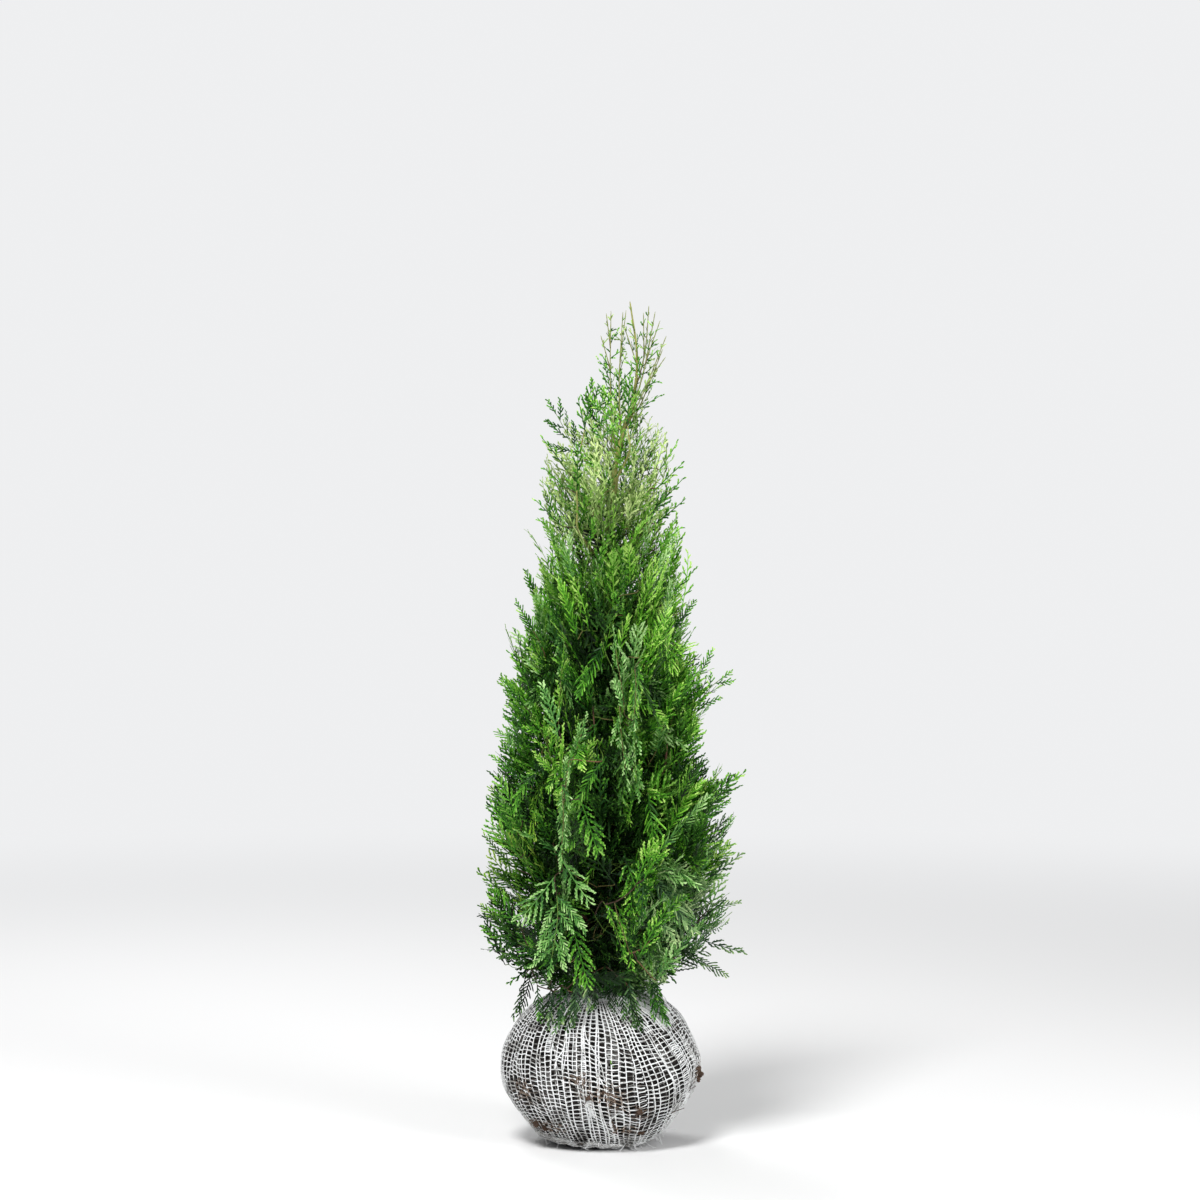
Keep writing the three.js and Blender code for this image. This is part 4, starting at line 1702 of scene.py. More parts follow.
@dataclass
class Leaders:
    """The thin leading shoots above the plumes: green stems with short sprays, bare at the tips."""

    palette: Palette
    trunk: Trunk
    maker: SprayMaker
    rng: np.random.Generator
    forks: tuple[Fork, ...] = (
        Fork(0, 1.010, (8, -2, 1055)), Fork(0, 0.985, (1, -6, 1027)),
        Fork(1, 0.990, (33, -5, 1059)), Fork(2, 1.000, (55, 0, 1056)),
        Fork(3, 0.990, (76, -12, 1046)), Fork(4, 0.965, (83, -10, 1000)),
        Fork(6, 0.990, (30, 2, 1040)),
    )
    bare_tip: float = 34.0
    longest: float = 42.0
    stems: Heap = field(default_factory=Heap)
    sprays: Heap = field(default_factory=Heap)

    def build(self) -> Heap:
        """Makes the stems piece.

        Returns:
            The leaders' sprays.
        """
        lines = [self._line(name) for name in nodes_named("shoot_")]
        top = evened(self.trunk.line[self.trunk.line[:, 2] > 0.86], 40)
        for line in lines:
            self._stem(line, 1.1 * MM, 0.55 * MM)
            self._clothe(line, 0.1)
        self._clothe(top, 0.0)
        for fork in self.forks:
            main = [*lines, top][fork.shoot]
            root = main[np.argmin(np.abs(main[:, 2] - fork.start))]
            tip = np.array(fork.tip) * MM
            line = hermite(root, tip, (tip - root) * 0.9 + (0, 0, 8 * MM), (tip - root) * 0.7, 14)
            self._stem(line, 0.85 * MM, 0.5 * MM)
            self._clothe(line, 0.25)
        piece = self.stems.made("leaders", self.palette.stems, smooth=True)
        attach(piece, "root")
        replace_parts(piece, *nodes_named("shoot_"))
        LOG.info("leaders: %d triangles, their sprays %d", self.stems.faces, self.sprays.faces)
        return self.sprays

    def _line(self, name: str) -> Array:
        """Reads a leading shoot.

        Args:
            name: Its node.

        Returns:
            Its line, from inside the trunk to its tip.
        """
        low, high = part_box(name)
        heights = np.linspace(low.z + 3 * MM, high.z - 1 * MM, 12)
        line, _ = Solid(name).slices(heights)
        root = self.trunk.axis(float(line[0, 2]) - 3 * MM)
        return evened(np.concatenate([[root], line]), 40)

    def _stem(self, line: Array, thick: float, thin: float) -> None:
        """Adds a green stem, browner at its foot.

        Args:
            line: Its line from the foot up.
            thick: Radius at the foot.
            thin: Radius below the tip.
        """
        radii = np.linspace(thick, thin, len(line))
        radii = radii * (1 + 0.16 * np.sin(np.arange(len(line)) * 2.4))
        radii[-1] = 0.25 * MM
        vertices, triangles = tubes(line[None], radii[None], 6, np.array((0.37, 0.91, 0.1)))
        share = np.repeat(np.linspace(0, 1, len(line) - 1), 12)
        share = np.append(share, np.full(len(triangles) - len(share), 0.5))
        self.stems.add(vertices, triangles, np.where(share < 0.2, Stem.OLIVE.place, Stem.YOUNG.place))

    def _clothe(self, line: Array, start: float) -> None:
        """Sets short sprays along a leader, alternately left and right, shorter towards its bare tip.

        Args:
            line: The leader's line.
            start: The share of the line below the first.
        """
        rng = self.rng
        walked, headings = walked_along(line), unit(np.gradient(line, axis=0))
        plane = unit(np.array((rng.normal(0, 1), rng.normal(0, 1), 0)))
        at, hand = start * walked[-1] + 4 * MM, 1
        while at < walked[-1] - 6 * MM:
            left = (walked[-1] - at) / MM
            leafy = left > self.bare_tip
            reach = float(np.clip(left * 0.34, 8, self.longest)) * rng.uniform(0.6, 1.3) * MM
            if left < self.bare_tip:
                reach = rng.uniform(3, 6) * MM
            point, way = between(at, walked, line), between(at, walked, headings)
            side = unit(np.cross(way, plane)) * hand
            side = turned(side, way, rng.normal(0, 0.6))
            angle = math.radians(rng.uniform(20, 55) if leafy else rng.uniform(10, 20))
            along = unit(way * math.cos(angle) + side * math.sin(angle))
            facing = turned(unit(np.cross(along, side)), along, rng.normal(0, 0.5))
            grown = Spray(
                point, along, facing, reach, form=Form.SPRIG, arch=rng.normal(0, 0.3), sway=-0.15 * hand,
                hue=(Hue.FRESH, Hue.MID, Hue.CREST)[rng.integers(3)], youth_and_light=rng.uniform(0.3, 0.9),
            )
            self.maker.make(grown, self.sprays)
            at += rng.uniform(6, 11) * MM if leafy else rng.uniform(10, 18) * MM
            hand = -hand


# ---- Root ball: soil and netting ----


@dataclass
class BallSurface:
    """The ball's side as a smooth radius over bearing and elevation, read from the frame."""

    centre: float = 92 * MM
    columns: int = 180
    rows: int = 121
    waves: int = 9
    softness: float = 2.2
    blur: int = 6

    def __post_init__(self) -> None:
        """Casts a ray for every cell and smooths the facets away."""
        points, corners = Solid("root_ball").arrays()
        tree = BVHTree.FromPolygons(points.tolist(), corners.tolist())
        middle = Vector((0, 0, self.centre))
        self.elevations = np.linspace(-math.pi / 2, math.pi / 2, self.rows)
        grid = np.empty((self.rows, self.columns))
        for row, elevation in enumerate(self.elevations):
            for column in range(self.columns):
                bearing = 2 * math.pi * column / self.columns
                level = math.cos(elevation)
                way = Vector((level * math.cos(bearing), level * math.sin(bearing), math.sin(elevation)))
                grid[row, column] = tree.ray_cast(middle, way)[3]
        spectrum = np.fft.rfft(grid, axis=1)
        spectrum[:, self.waves :] = 0
        grid = np.fft.irfft(spectrum, n=self.columns, axis=1)
        weight = np.exp(-0.5 * (np.arange(-self.blur, self.blur + 1) / self.softness) ** 2)
        padded = np.pad(grid, ((self.blur, self.blur), (0, 0)), mode="edge")
        self.grid = sum(w * padded[i : i + self.rows] for i, w in enumerate(weight / weight.sum()))

    def radius(self, bearing: Array, elevation: Array) -> Array:
        """Reads the smoothed distance of the surface from the centre, between cells.

        Args:
            bearing: Bearings in radians.
            elevation: Elevations in radians.

        Returns:
            The distances.
        """
        u = np.mod(bearing / (2 * math.pi), 1) * self.columns
        v = np.clip((elevation / math.pi + 0.5) * (self.rows - 1), 0, self.rows - 1.001)
        i, j = np.floor(u).astype(int) % self.columns, np.floor(v).astype(int)
        fu, fv = u - np.floor(u), v - j
        k = (i + 1) % self.columns
        low = self.grid[j, i] * (1 - fu) + self.grid[j, k] * fu
        high = self.grid[j + 1, i] * (1 - fu) + self.grid[j + 1, k] * fu
        return low * (1 - fv) + high * fv

    def at(self, bearing: Array, elevation: Array, lift: Array | float) -> Array:
        """Places points that stand off the surface.

        Args:
            bearing: Bearings in radians.
            elevation: Elevations in radians.
            lift: How far they stand off, along the ray from the centre.

        Returns:
            The points.
        """
        reach = self.radius(bearing, elevation) + lift
        level = np.cos(elevation)
        way = np.stack([level * np.cos(bearing), level * np.sin(bearing), np.sin(elevation)], -1)
        return way * reach[..., None] + np.array((0, 0, self.centre))


@dataclass(frozen=True)
class Clod:
    """A clod that has pushed out through the net: a bearing in degrees, and the rest in millimetres."""

    bearing: float
    height: float
    size: float
    lift: float = 3.0


@dataclass(frozen=True)
class Straw:
    """A dry twig caught in the net: bearing in degrees, height and lift in millimetres of its ends."""

    start: tuple[float, float, float]
    end: tuple[float, float, float]


@dataclass
class RootBall:
    """Dark crumbly soil, with its flat foot on the floor."""

    surface: BallSurface
    palette: Palette
    fineness: int = 7
    sunk: float = 1.2 * MM
    crumb: float = 2.4 * MM
    lump: float = 2.0 * MM
    clods: tuple[Clod, ...] = (
        Clod(-10, 91, 4.6, 9), Clod(-12, 85, 3.6, 9), Clod(-15, 99, 3.0, 9), Clod(-7, 95, 3.0, 8),
        Clod(-144, 33, 4.2), Clod(-137, 28, 3.6), Clod(-65, 56, 3.6), Clod(-97, 76, 3.2),
        Clod(-88, 84, 2.6), Clod(-55, 24, 3.0), Clod(150, 60, 3.4), Clod(75, 90, 3.0),
    )
    straws: tuple[Straw, ...] = (
        Straw((-35, 44, 1), (-27, 52, 12)), Straw((-95, 84, 3), (-99, 68, 4)),
        Straw((-68, 62, 3), (-61, 54, 4)), Straw((-143, 40, 3), (-134, 29, 5)),
        Straw((-82, 44, 3), (-77, 27, 5)), Straw((-20, 70, 2), (-14, 76, 10)),
    )

    def build(self) -> None:
        """Makes the soil piece, and then what hangs in the net."""
        shape = bmesh.new()
        bmesh.ops.create_icosphere(shape, subdivisions=self.fineness, radius=1)
        shape.verts.ensure_lookup_table()
        rays = np.array([v.co for v in shape.verts])
        bearing, elevation = np.arctan2(rays[:, 1], rays[:, 0]), np.arcsin(np.clip(rays[:, 2], -1, 1))
        base = self.surface.at(bearing, elevation, -self.sunk)
        shift = np.array([self._grain(Vector(p)) for p in base])
        points = self.surface.at(bearing, elevation, shift - self.sunk)
        points[:, 2] = np.maximum(points[:, 2], 0)
        foot = rays[:, 2] < -0.72
        points[foot & (base[:, 2] < 3 * MM), 2] = 0
        for vertex, point in zip(shape.verts, points):
            vertex.co = point
        piece = moulded("soil_ball", shape, self.palette.soil)
        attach(piece, "root")
        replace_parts(piece, "root_ball")
        self._crumbs()

    def _crumbs(self) -> None:
        """Makes the clods and dry twigs that hang in the net, as one piece."""
        shape = bmesh.new()
        for clod in self.clods:
            self._clod(shape, Vector(self._side(clod.bearing, clod.height, clod.lift)), clod.size * MM)
        for straw in self.straws:
            start, end = self._side(*straw.start), self._side(*straw.end)
            line = hermite(start, end, (end - start) * 0.9 + (0, 0, 3 * MM), end - start, 8)
            Limb(line, np.linspace(0.8, 0.35, 8) * MM, 6, 0.1 * MM).into(shape)
        piece = moulded("clods", shape, self.palette.clod)
        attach(piece, "root")

    def _side(self, bearing: float, height: float, lift: float) -> Array:
        """Finds a place on the ball's side.

        Args:
            bearing: Its bearing in degrees.
            height: Its height in millimetres.
            lift: How far it stands off the ball, in millimetres.

        Returns:
            The place.
        """
        elevations = np.linspace(-1.2, 1.2, 121)
        column = self.surface.at(np.full(121, math.radians(bearing)), elevations, lift * MM)
        return between(height * MM, column[:, 2], column)

    def _grain(self, point: Vector) -> float:
        """Works out how far the soil stands out, in soft lumps and sharp crumbs.

        Args:
            point: The point on the ball.

        Returns:
            The distance.
        """
        soft = noise.noise(point * 28) * self.lump
        cell = noise.voronoi(point * 105)[0]
        crumb = (0.55 - min(cell[0], 0.9)) * self.crumb
        return soft + crumb + noise.noise(point * 330) * 0.5 * MM

    @staticmethod
    def _clod(shape: bmesh.types.BMesh, place: Vector, size: float) -> None:
        """Adds one knobbly clod.

        Args:
            shape: Where it goes.
            place: Its middle.
            size: Its radius.
        """
        middle = Matrix.Translation(place)
        made = bmesh.ops.create_icosphere(shape, subdivisions=4, radius=size, matrix=middle)
        for vertex in made["verts"]:
            off = vertex.co - place
            bump = 1 + 0.7 * noise.noise(vertex.co * 260) + 0.5 * noise.noise(vertex.co * 700)
            vertex.co = place + off * bump


class Fibre(Enum):
    """The net's threads by how clean they are; the dull and soiled ones also carry painted shade."""

    CLEAN = 0
    DULL_AND_SHADED = 1
    SOILED_AND_SHADED = 2
    EARTHY = 3


@dataclass(frozen=True)
class Smear:
    """A patch of brown earth on the net's front, in millimetres."""

    x: float
    z: float
    half_width: float
    half_height: float


@dataclass
class Netting:
    """Knitted netting: flat warp threads up the ball, and a ladder of thin cross threads in each gap."""

    surface: BallSurface
    palette: Palette
    seed: int = 53
    columns: int = 92
    inner_columns: int = 58
    row_pitch: float = 5.8 * MM
    warp_half: float = 0.8 * MM
    weft_half: float = 0.64 * MM
    flat: float = 0.42
    lift: float = 3.0 * MM
    hem: float = 2.5 * MM
    gather: float = 24 * MM
    ruff: float = 15 * MM
    steps: int = 112
    inner_steps: int = 76
    inner_drop: float = 1.9 * MM
    # How dark the inner layer is made: partly soil, partly painted shade.
    inner_soil: float = 0.95
    sides: int = 4
    grades: tuple[float, float] = (0.62, 1.05)
    slack_share: float = 0.3
    crowded_share: float = 0.26
    missing_share: float = 0.03
    least_gap: float = 2.4 * MM
    strays: int = 48
    cut_ends: tuple[int, int] = (18, 26)
    smears: tuple[Smear, ...] = (
        Smear(4, 82, 26, 13), Smear(22, 66, 15, 10), Smear(50, 54, 14, 10), Smear(30, 30, 20, 7),
        Smear(-70, 30, 30, 9), Smear(128, 92, 9, 13), Smear(-95, 78, 13, 20),
        Smear(-30, 100, 16, 8),
    )

    def __post_init__(self) -> None:
        """Lays out the height scale up the side of the ball."""
        self.rng = np.random.default_rng(self.seed)
        self.warp, self.weft = Heap(), Heap()
        elevations = np.linspace(-1.25, 1.55, 300)
        ring = np.linspace(0, 2 * math.pi, 24, endpoint=False)
        b, e = np.meshgrid(ring, elevations)
        points = self.surface.at(b, e, self.lift)
        radius = np.hypot(points[..., 0], points[..., 1]).mean(1)
        height = points[..., 2].mean(1)
        keep = (height > self.hem) & ((radius > self.gather) | (height < 0.1))
        self.elevations = elevations[keep]
        self.stations = walked_along(np.stack([radius[keep], height[keep]], -1))
        self.length = float(self.stations[-1])

    def place(self, bearing: Array, station: Array, lift: Array | float = 0.0) -> Array:
        """Points on the net.

        Args:
            bearing: Bearings at the hem, which the net's own lean then turns.
            station: Distances up the side from the hem.
            lift: How far the point stands off the net.

        Returns:
            The points.
        """
        share = station / self.length
        bearing, share = self._lean(bearing, share)
        elevation = np.interp(share * self.length, self.stations, self.elevations)
        swell = self._swell(bearing, share)
        points = self.surface.at(bearing, elevation, self.lift + lift + swell)
        past = np.maximum(share - 1, 0) * self.length
        waist = self.gather * (1 - 0.25 * np.sin(np.clip(past / self.ruff, 0, 1) * 2.2))
        neck = np.stack([np.cos(bearing) * waist, np.sin(bearing) * waist, points[..., 2] + past], -1)
        blend = smoothstep(past, 0, 3 * MM)[..., None]
        points = points * (1 - blend) + neck * blend
        points[..., 2] = np.maximum(points[..., 2], 1.2 * MM)
        return points

    @staticmethod
    def _near(bearing: Array, middle: float, width: float) -> Array:
        """1 at a bearing in degrees, falling off over a width in degrees."""
        off = np.mod(bearing - math.radians(middle) + math.pi, 2 * math.pi) - math.pi
        return np.exp(-((off / math.radians(width)) ** 2))

    def _lean(self, bearing: Array, share: Array) -> tuple[Array, Array]:
        """Pulls the net askew: threads lean and rows climb on one flank.

        Args:
            bearing: Bearings at the hem.
            share: Shares of the way up the side.

        Returns:
            Both as they are on the pulled net.
        """
        flank = self._near(bearing, -42, 40)
        off = np.mod(bearing - math.radians(-38) + math.pi, 2 * math.pi) - math.pi
        pull = 1.0 * (0.46 - share) * flank + 0.035 * np.sin(5.3 * share + 3 * bearing + 1)
        pull = pull + 0.014 * np.sin(11 * share - 5 * bearing) + 0.005 * np.sin(23 * share + 11 * bearing + 2)
        climb = 0.16 * off * flank + 0.012 * np.sin(3 * bearing + 1) + 0.008 * np.sin(7 * bearing + 4 * share)
        climb = climb + 0.006 * np.sin(17 * bearing + 21 * share)
        return bearing + pull, share + climb * np.clip(1.15 - share, 0, 1) * np.clip(share * 6, 0, 1)

    def _swell(self, bearing: Array, share: Array) -> Array:
        """Works out the folds and the slack.

        Args:
            bearing: Bearings on the net.
            share: Shares of the way up the side.

        Returns:
            Distances off the ball.
        """
        shoulder = self._near(bearing, -30, 26) * np.exp(-(((share - 0.76) / 0.12) ** 2))
        hip = self._near(bearing, -6, 22) * np.exp(-(((share - 0.42) / 0.13) ** 2))
        slack = 0.9 * MM * np.sin(9 * bearing + 5 * share) * np.sin(math.pi * np.clip(share, 0, 1))
        slack = slack + 0.6 * MM * np.sin(23 * bearing - 31 * share)
        return shoulder * 8 * MM + hip * 6 * MM + slack

    def _bearings(self, count: int) -> Array:
        """Rising bearings for a number of threads, unevenly spaced: some pairs close, some gaps wide."""
        widths = self.rng.choice((0.5, 0.9, 1.1, 1.4), size=count, p=(0.14, 0.3, 0.36, 0.2))
        return np.concatenate([[0], np.cumsum(widths)[:-1]]) / widths.sum() * 2 * math.pi

    def _normals(self, bearing: Array, station: Array) -> Array:
        """Works out the net's outward direction from its own slopes.

        Args:
            bearing: Bearings at the hem.
            station: Distances up the side from the hem.

        Returns:
            A unit direction for each point.
        """
        small = 0.01
        across = self.place(bearing + small, station) - self.place(bearing - small, station)
        upward = self.place(bearing, station + MM) - self.place(bearing, station - MM)
        return unit(np.cross(across, upward))

    def build(self) -> None:
        """Makes the warp and weft pieces."""
        outer, inner = self._bearings(self.columns), self._bearings(self.inner_columns)
        self._uprights(outer, 0.0, 0.0)
        self._rungs(outer, 0.0, 0.04)
        # The inner layer is darkened by soil and by painted shade.
        self._uprights(inner, -self.inner_drop, self.inner_soil)
        self._rungs(inner, -self.inner_drop, self.inner_soil)
        self._pulled()
        self._shoulder_fold()
        self._hem_roll()
        self._cut_ends()
        for name, heap in (("net_warp", self.warp), ("net_weft", self.weft)):
            piece = heap.made(name, self.palette.net, smooth=True)
            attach(piece, "root")
            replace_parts(piece, "net_wrap")
            LOG.info("%s: %d triangles", name, heap.faces)

    def _lay(
        self, heap: Heap, bearing: Array, station: Array, lift: Array | float, half: Array, soil: float
    ) -> None:
        """Adds flat threads along (bearing, station) lines, all with the same number of points.

        Args:
            heap: Where they go.
            bearing: Bearings (threads, points).
            station: Stations (threads, points).
            lift: Their height off the net.
            half: Half-widths (threads, points).
            soil: 0 for clean threads and 1 for dark ones, from soil and, on the inner layer, painted shade.
        """
        points = self.place(bearing, station, lift)
        normals = self._normals(bearing, station)
        vertices, triangles = tubes(points, half, self.sides, normals, self.flat)
        middle = vertices[triangles].mean(1)
        dirt_and_shade = self._dirt_and_shade(middle) + soil + self.rng.normal(0, 0.16, len(triangles))
        earthy = self._smear(middle) + self.rng.normal(0, 0.22, len(triangles)) > 0.5
        heap.add(vertices, triangles, np.where(earthy, Fibre.EARTHY.value, np.digitize(dirt_and_shade, self.grades)))

    @staticmethod
    def _dirt_and_shade(points: Array) -> Array:
        """Works out how dark the net is: soiled most near the floor and in patches, and darker on the left as
        painted shade.

        Args:
            points: Points on the net.

        Returns:
            From 0 for clean to about 1 for dark.
        """
        x, y, z = (points / MM).T
        low = 1 - smoothstep(z, 6, 46)
        patch = 0.45 * (np.sin(x * 0.11 + 1) * np.sin(z * 0.13 + y * 0.05) > 0.5)
        # Painted shade: the left side is darker.
        side = 0.26 * smoothstep(-x, 20, 110)
        return 0.45 * low * (1 - 0.5 * smoothstep(x, -20, 80)) + patch + side + 0.14

    def _smear(self, points: Array) -> Array:
        """Works out how brown with earth the net is: in patches at the front, and along its lower left.

        Args:
            points: Points on the net.

        Returns:
            From 0 for none to about 1.
        """
        x, y, z = (points / MM).T
        smear = sum(
            np.exp(-(((x - s.x) / s.half_width) ** 2) - ((z - s.z) / s.half_height) ** 2) for s in self.smears
        )
        smear = smear * (y < 20)
        return 1.15 * smear * (0.6 + 0.5 * np.sin(x * 0.5 + z * 0.3) * np.sin(z * 0.55 - x * 0.2))

    def _uprights(self, bearings: Array, lift: float, soil: float) -> None:
        """The flat threads that run from the hem up to the gathered edge.

        Args:
            bearings: One for each thread.
            lift: How far this layer stands off the net's own place.
            soil: How dark the layer is, from soil and, on the inner layer, painted shade.
        """
        rng, count = self.rng, len(bearings)
        steps = self.steps if lift == 0 else self.inner_steps
        top = self.length + (self.ruff * rng.uniform(0.6, 1.15, count) if lift == 0 else 0.0)
        t = np.linspace(0, 1, steps)
        station = np.reshape(top, (-1, 1)) * t
        wander = np.cumsum(rng.normal(0, 1, (count, steps)), 1) * 0.00075
        wander -= t * wander[:, -1:]
        phase = rng.uniform(0, 6, (count, 1))
        wander += 0.010 * np.sin(9 * t + 8 * bearings[:, None]) + 0.005 * np.sin(17 * t + phase)
        bearing = bearings[:, None] + wander * np.minimum(t * 8, 1)
        narrow = np.clip(1.18 - station / self.length, 0.0, 1)
        half = self.warp_half * rng.uniform(0.75, 1.2, (count, 1))
        half = half * (0.42 + 0.58 * np.minimum(narrow * 3.2, 1))
        knit = 1 + 0.15 * np.sin(station / self.row_pitch * 2 * math.pi + rng.uniform(0, 6, (count, 1)))
        self._lay(self.warp, bearing, station, lift + rng.normal(0, 0.12 * MM, (count, 1)), half * knit, soil)

    def _rungs(self, bearings: Array, lift: float, soil: float) -> None:
        """The thin cross threads, in rows that run on from gap to gap and climb a little.

        Args:
            bearings: Those of the layer's upright threads.
            lift: How far this layer stands off the net's own place.
            soil: How dark the layer is, from soil and, on the inner layer, painted shade.
        """
        rng = self.rng
        posts = [*bearings, bearings[0] + 2 * math.pi]
        starts, ends = [], []
        for column, (left, right) in enumerate(zip(posts, posts[1:])):
            base, climb = self._ladder(column)
            starts.append(np.stack([np.full(len(base), left), base - climb / 2], -1))
            ends.append(np.stack([np.full(len(base), right), base + climb / 2], -1))
        a, b = np.concatenate(starts), np.concatenate(ends)
        keep = (rng.random(len(a)) > self.missing_share) & (a[:, 1] > 2 * MM) & (b[:, 1] > 2 * MM)
        level = np.interp(a[:, 1], self.stations, self.elevations)
        gap = (b[:, 0] - a[:, 0]) * self.surface.radius(a[:, 0], level) * np.cos(level)
        keep &= (gap > self.least_gap) & (a[:, 1] < self.length * 0.98)
        a, b = a[keep], b[keep]
        middle = (a + b) / 2
        middle[:, 1] += rng.normal(0, 0.45 * MM, len(a))
        line = np.stack([a, middle, b], 1)
        half = self.weft_half * rng.uniform(0.7, 1.35, (len(a), 1)) * np.array((1.25, 0.9, 1.25))
        off = lift + np.array((0.25, -0.35, 0.25)) * MM + rng.normal(0, 0.15 * MM, (len(a), 1))
        self._lay(self.weft, line[..., 0], line[..., 1], off, half, soil)

    def _ladder(self, column: int) -> tuple[Array, Array]:
        """Deals the cross threads of one gap: even or slack, and crowded over a stretch in some.

        Args:
            column: The gap's number.

        Returns:
            Their stations, and how far each climbs across the gap.
        """
        rng, rows = self.rng, int(self.length / self.row_pitch)
        slack = rng.random() < self.slack_share
        step = 0.5 * math.sin(column * 0.31) + rng.normal(0, 0.3 if slack else 0.05)
        base = (np.arange(rows) + 0.5 + step) * self.row_pitch
        base = base + rng.normal(0, (0.6 if slack else 0.3) * MM, rows)
        if rng.random() < self.crowded_share:
            low = rng.integers(0, rows - 12)
            more = (np.arange(rng.integers(14, 44)) * 0.42 + low) * self.row_pitch
            base = np.concatenate([base, more[more < self.length * 0.95]])
        climb = rng.normal(0, (0.9 if slack else 0.4) * MM, len(base))
        return base, climb + slack * rng.choice((-1.2, 1.2)) * MM

    def _pulled(self) -> None:
        """Adds pulled threads that run aslant over the others."""
        rng, count, steps = self.rng, self.strays, 50
        first = rng.uniform(0, 2 * math.pi, count)
        low = rng.uniform(0.02, 0.7, count) * self.length
        run = rng.uniform(0.12, 0.45, count) * self.length
        t = np.linspace(0, 1, steps)
        station = np.minimum(low[:, None] + run[:, None] * t, self.length * 0.98)
        bearing = first[:, None] + rng.normal(0, 0.2, (count, 1)) * t + 0.02 * np.sin(9 * t + first[:, None])
        half = np.full((count, steps), 0.6 * MM) * rng.uniform(0.6, 1.4, (count, 1))
        self._lay(self.warp, bearing, station, rng.uniform(0.2, 1.1, (count, 1)) * MM, half, 0.12)

    def _shoulder_fold(self) -> None:
        """Adds a bright fold of doubled netting on the shoulder."""
        rng, count, steps = self.rng, 26, 40
        t = np.linspace(0, 1, steps)
        first = math.radians(-30) + np.linspace(-0.34, 0.42, count) + rng.normal(0, 0.012, count)
        reach = np.cos(np.linspace(-1.25, 1.25, count))
        low = 0.80 - 0.15 * reach + rng.normal(0, 0.012, count)
        high = 0.80 + 0.10 * reach + rng.normal(0, 0.012, count)
        station = (low[:, None] + (high - low)[:, None] * t) * self.length
        bearing = first[:, None] + 0.05 * np.sin(t * 3 + first[:, None] * 7)
        lift = 1.2 * MM + 2.2 * MM * np.sin(math.pi * t) * rng.uniform(0.5, 1.2, (count, 1))
        half = np.full((count, steps), 0.95 * MM) * rng.uniform(0.7, 1.3, (count, 1))
        self._lay(self.warp, bearing, station, lift, half, -0.3)

    def _hem_roll(self) -> None:
        """Adds a dull roll of netting along the lower edge, which rises to the left."""
        rng, count, steps = self.rng, 16, 90
        t = np.linspace(0, 1, steps)
        bearing = math.radians(-176) + math.radians(118) * t + rng.normal(0, 0.05, (count, 1))
        middle = 0.035 + 0.07 * (1 - t) ** 1.5
        apart = np.linspace(-0.022, 0.022, count)[:, None]
        wave = 0.006 * np.sin(31 * t + rng.uniform(0, 6, (count, 1)))
        station = (middle + apart + wave) * self.length
        lift = rng.uniform(0.4, 3.4, (count, 1)) * MM * np.sin(math.pi * t) ** 0.5
        half = np.full((count, steps), 1.0 * MM) * rng.uniform(0.7, 1.3, (count, 1))
        self._lay(self.warp, bearing, station, lift, half, 0.1)

    def _cut_ends(self) -> None:
        """Adds cut ends that hang free near the floor, most of them at the front."""
        rng, count = self.rng, sum(self.cut_ends)
        bunched, spread = self.cut_ends
        bearing = np.concatenate([rng.uniform(-1.35, -0.75, bunched), rng.uniform(-3.3, 0.3, spread)])
        station = rng.uniform(0.0, 0.11, count) * self.length
        root = self.place(bearing, station, 0.8 * MM)
        out = unit(root * LEVEL)
        aside = np.cross(out, UP) * rng.normal(0, 0.7, (count, 1))
        way = unit(out * 0.5 + aside - UP * rng.uniform(0.1, 0.9, (count, 1)))
        run = rng.uniform(4, 15, count)[:, None, None] * MM
        t = np.linspace(0, 1, 7)[None, :, None]
        curl = rng.normal(0, 0.3, (count, 1, 3))
        lines = root[:, None] + way[:, None] * run * t + curl * run * t**2
        lines[..., 2] = np.maximum(lines[..., 2], 0.9 * MM)
        half = np.full((count, 7), 0.45 * MM)
        vertices, triangles = tubes(lines, half, self.sides, np.array((0.13, 0.21, 0.97)), 0.8)
        self.weft.add(vertices, triangles, np.full(len(triangles), Fibre.CLEAN.value))


# ---- Camera, light and floor ----


@dataclass(frozen=True)
class Lamp:
    """A round soft lamp that looks at the middle of the plant, in metres and watts."""

    name: str
    place: tuple[float, float, float]
    size: float
    power: float


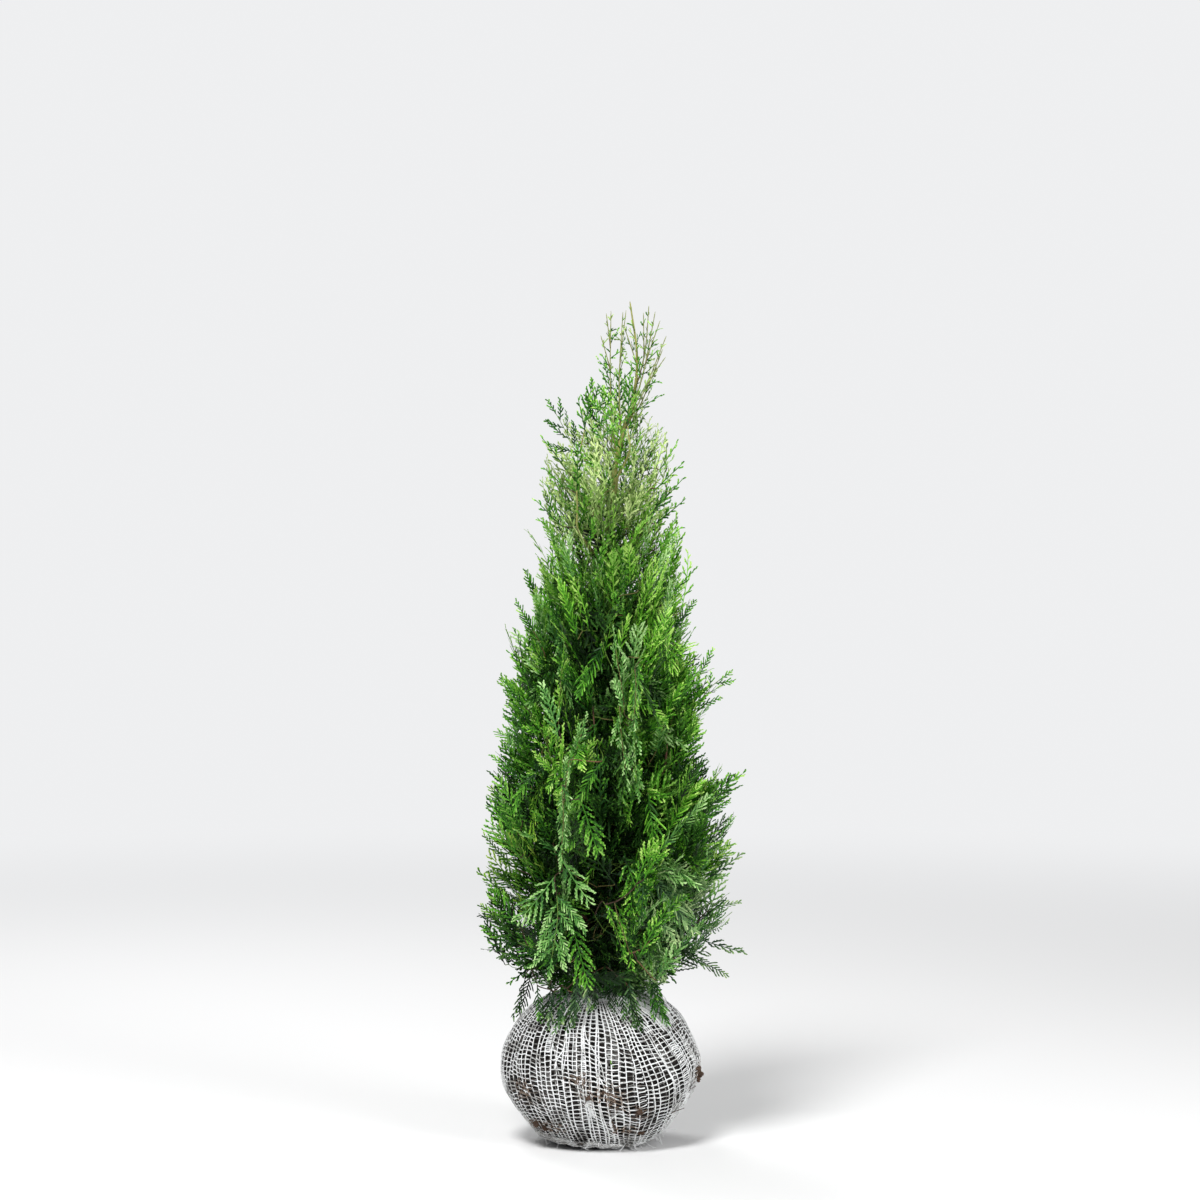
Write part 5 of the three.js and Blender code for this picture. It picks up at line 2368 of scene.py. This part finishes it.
@dataclass(frozen=True)
class Studio:
    """A plain pale floor, soft light and the camera."""

    span: float = 1.524
    centre: float = 0.692
    distance: float = 5.0
    elevation: float = math.radians(2.5)
    sensor: float = 36.0
    ambient: float = 0.32
    surround: tuple[float, float, float] = (0.86, 0.865, 0.875)
    floor_colour: tuple[float, float, float] = (0.82, 0.82, 0.82)
    floor_radius: float = 30.0
    fade: tuple[float, float] = (0.7, 4.0)
    aim: tuple[float, float, float] = (0.0, 0.0, 0.5)
    lamps: tuple[Lamp, ...] = (
        Lamp("key", (-0.9, -2.5, 3.7), 1.3, 168.0),
        Lamp("fill", (2.4, -2.4, 1.5), 1.6, 62.0),
        Lamp("back", (-1.1, 2.2, 2.6), 1.6, 46.0),
    )

    def camera(self) -> None:
        """A long lens that looks slightly down on the plant."""
        data = bpy.data.cameras.new("camera")
        data.sensor_width = self.sensor
        data.lens = self.sensor * self.distance / self.span
        camera = linked("camera", data)
        back = Vector((0, -math.cos(self.elevation), math.sin(self.elevation)))
        camera.location = Vector((0, 0, self.centre)) + back * self.distance
        camera.rotation_euler = (-back).to_track_quat("-Z", "Y").to_euler()
        bpy.context.scene.camera = camera

    def light(self) -> None:
        """A bright even surround, a large key from the upper left, a weaker fill and one from behind."""
        world = bpy.data.worlds.new("surround")
        world.use_nodes = True
        tree, new = world.node_tree, world.node_tree.nodes.new
        shade = tree.nodes["Background"]
        shade.inputs["Color"].default_value = (*self.surround, 1)
        seen, strength = new("ShaderNodeLightPath"), new("ShaderNodeMapRange")
        strength.inputs["To Min"].default_value = self.ambient
        strength.inputs["To Max"].default_value = 1.0
        wired(tree, (seen, "Is Camera Ray", strength, "Value"), (strength, "Result", shade, "Strength"))
        bpy.context.scene.world = world
        for lamp in self.lamps:
            data = bpy.data.lights.new(lamp.name, "AREA")
            data.shape, data.size, data.energy = "DISK", lamp.size, lamp.power
            light = linked(lamp.name, data)
            light.location = lamp.place
            light.rotation_euler = (Vector(self.aim) - Vector(lamp.place)).to_track_quat("-Z", "Y").to_euler()

    def floor(self) -> None:
        """A wide disc that fades into the surround's own brightness."""
        shape = bmesh.new()
        bmesh.ops.create_circle(shape, cap_ends=True, segments=96, radius=self.floor_radius)
        made = bpy.data.materials.new("floor")
        made.use_nodes = True
        tree, new = made.node_tree, made.node_tree.nodes.new
        shader = tree.nodes["Principled BSDF"]
        shader.inputs["Base Color"].default_value = (*self.floor_colour, 1)
        shader.inputs["Roughness"].default_value = 0.9
        shader.inputs["Specular IOR Level"].default_value = 0.1
        glow, mix = new("ShaderNodeEmission"), new("ShaderNodeMixShader")
        place, reach = new("ShaderNodeTexCoord"), new("ShaderNodeVectorMath")
        fade = new("ShaderNodeMapRange")
        glow.inputs["Color"].default_value = (*self.surround, 1)
        reach.operation = "LENGTH"
        fade.interpolation_type = "SMOOTHSTEP"
        fade.inputs["From Min"].default_value, fade.inputs["From Max"].default_value = self.fade
        wired(
            tree,
            (place, "Object", reach, 0),
            (reach, "Value", fade, "Value"),
            (fade, "Result", mix, "Fac"),
            (shader, "BSDF", mix, 1),
            (glow, "Emission", mix, 2),
            (mix, "Shader", tree.nodes["Material Output"], "Surface"),
        )
        moulded("floor", shape, made, smooth=False)


def main() -> None:
    """Builds the studio, then each sub-assembly in order."""
    logging.basicConfig(level=logging.INFO, format="%(message)s")
    bpy.context.scene.view_settings.view_transform = "Standard"
    studio = Studio()
    studio.camera()
    studio.light()
    studio.floor()
    palette = Palette()
    surface = BallSurface()
    RootBall(surface, palette).build()
    Netting(surface, palette).build()
    trunk = Trunk(palette)
    trunk.build()
    Crown(palette, trunk).build()
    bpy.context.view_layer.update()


if __name__ == "__main__":
    main()
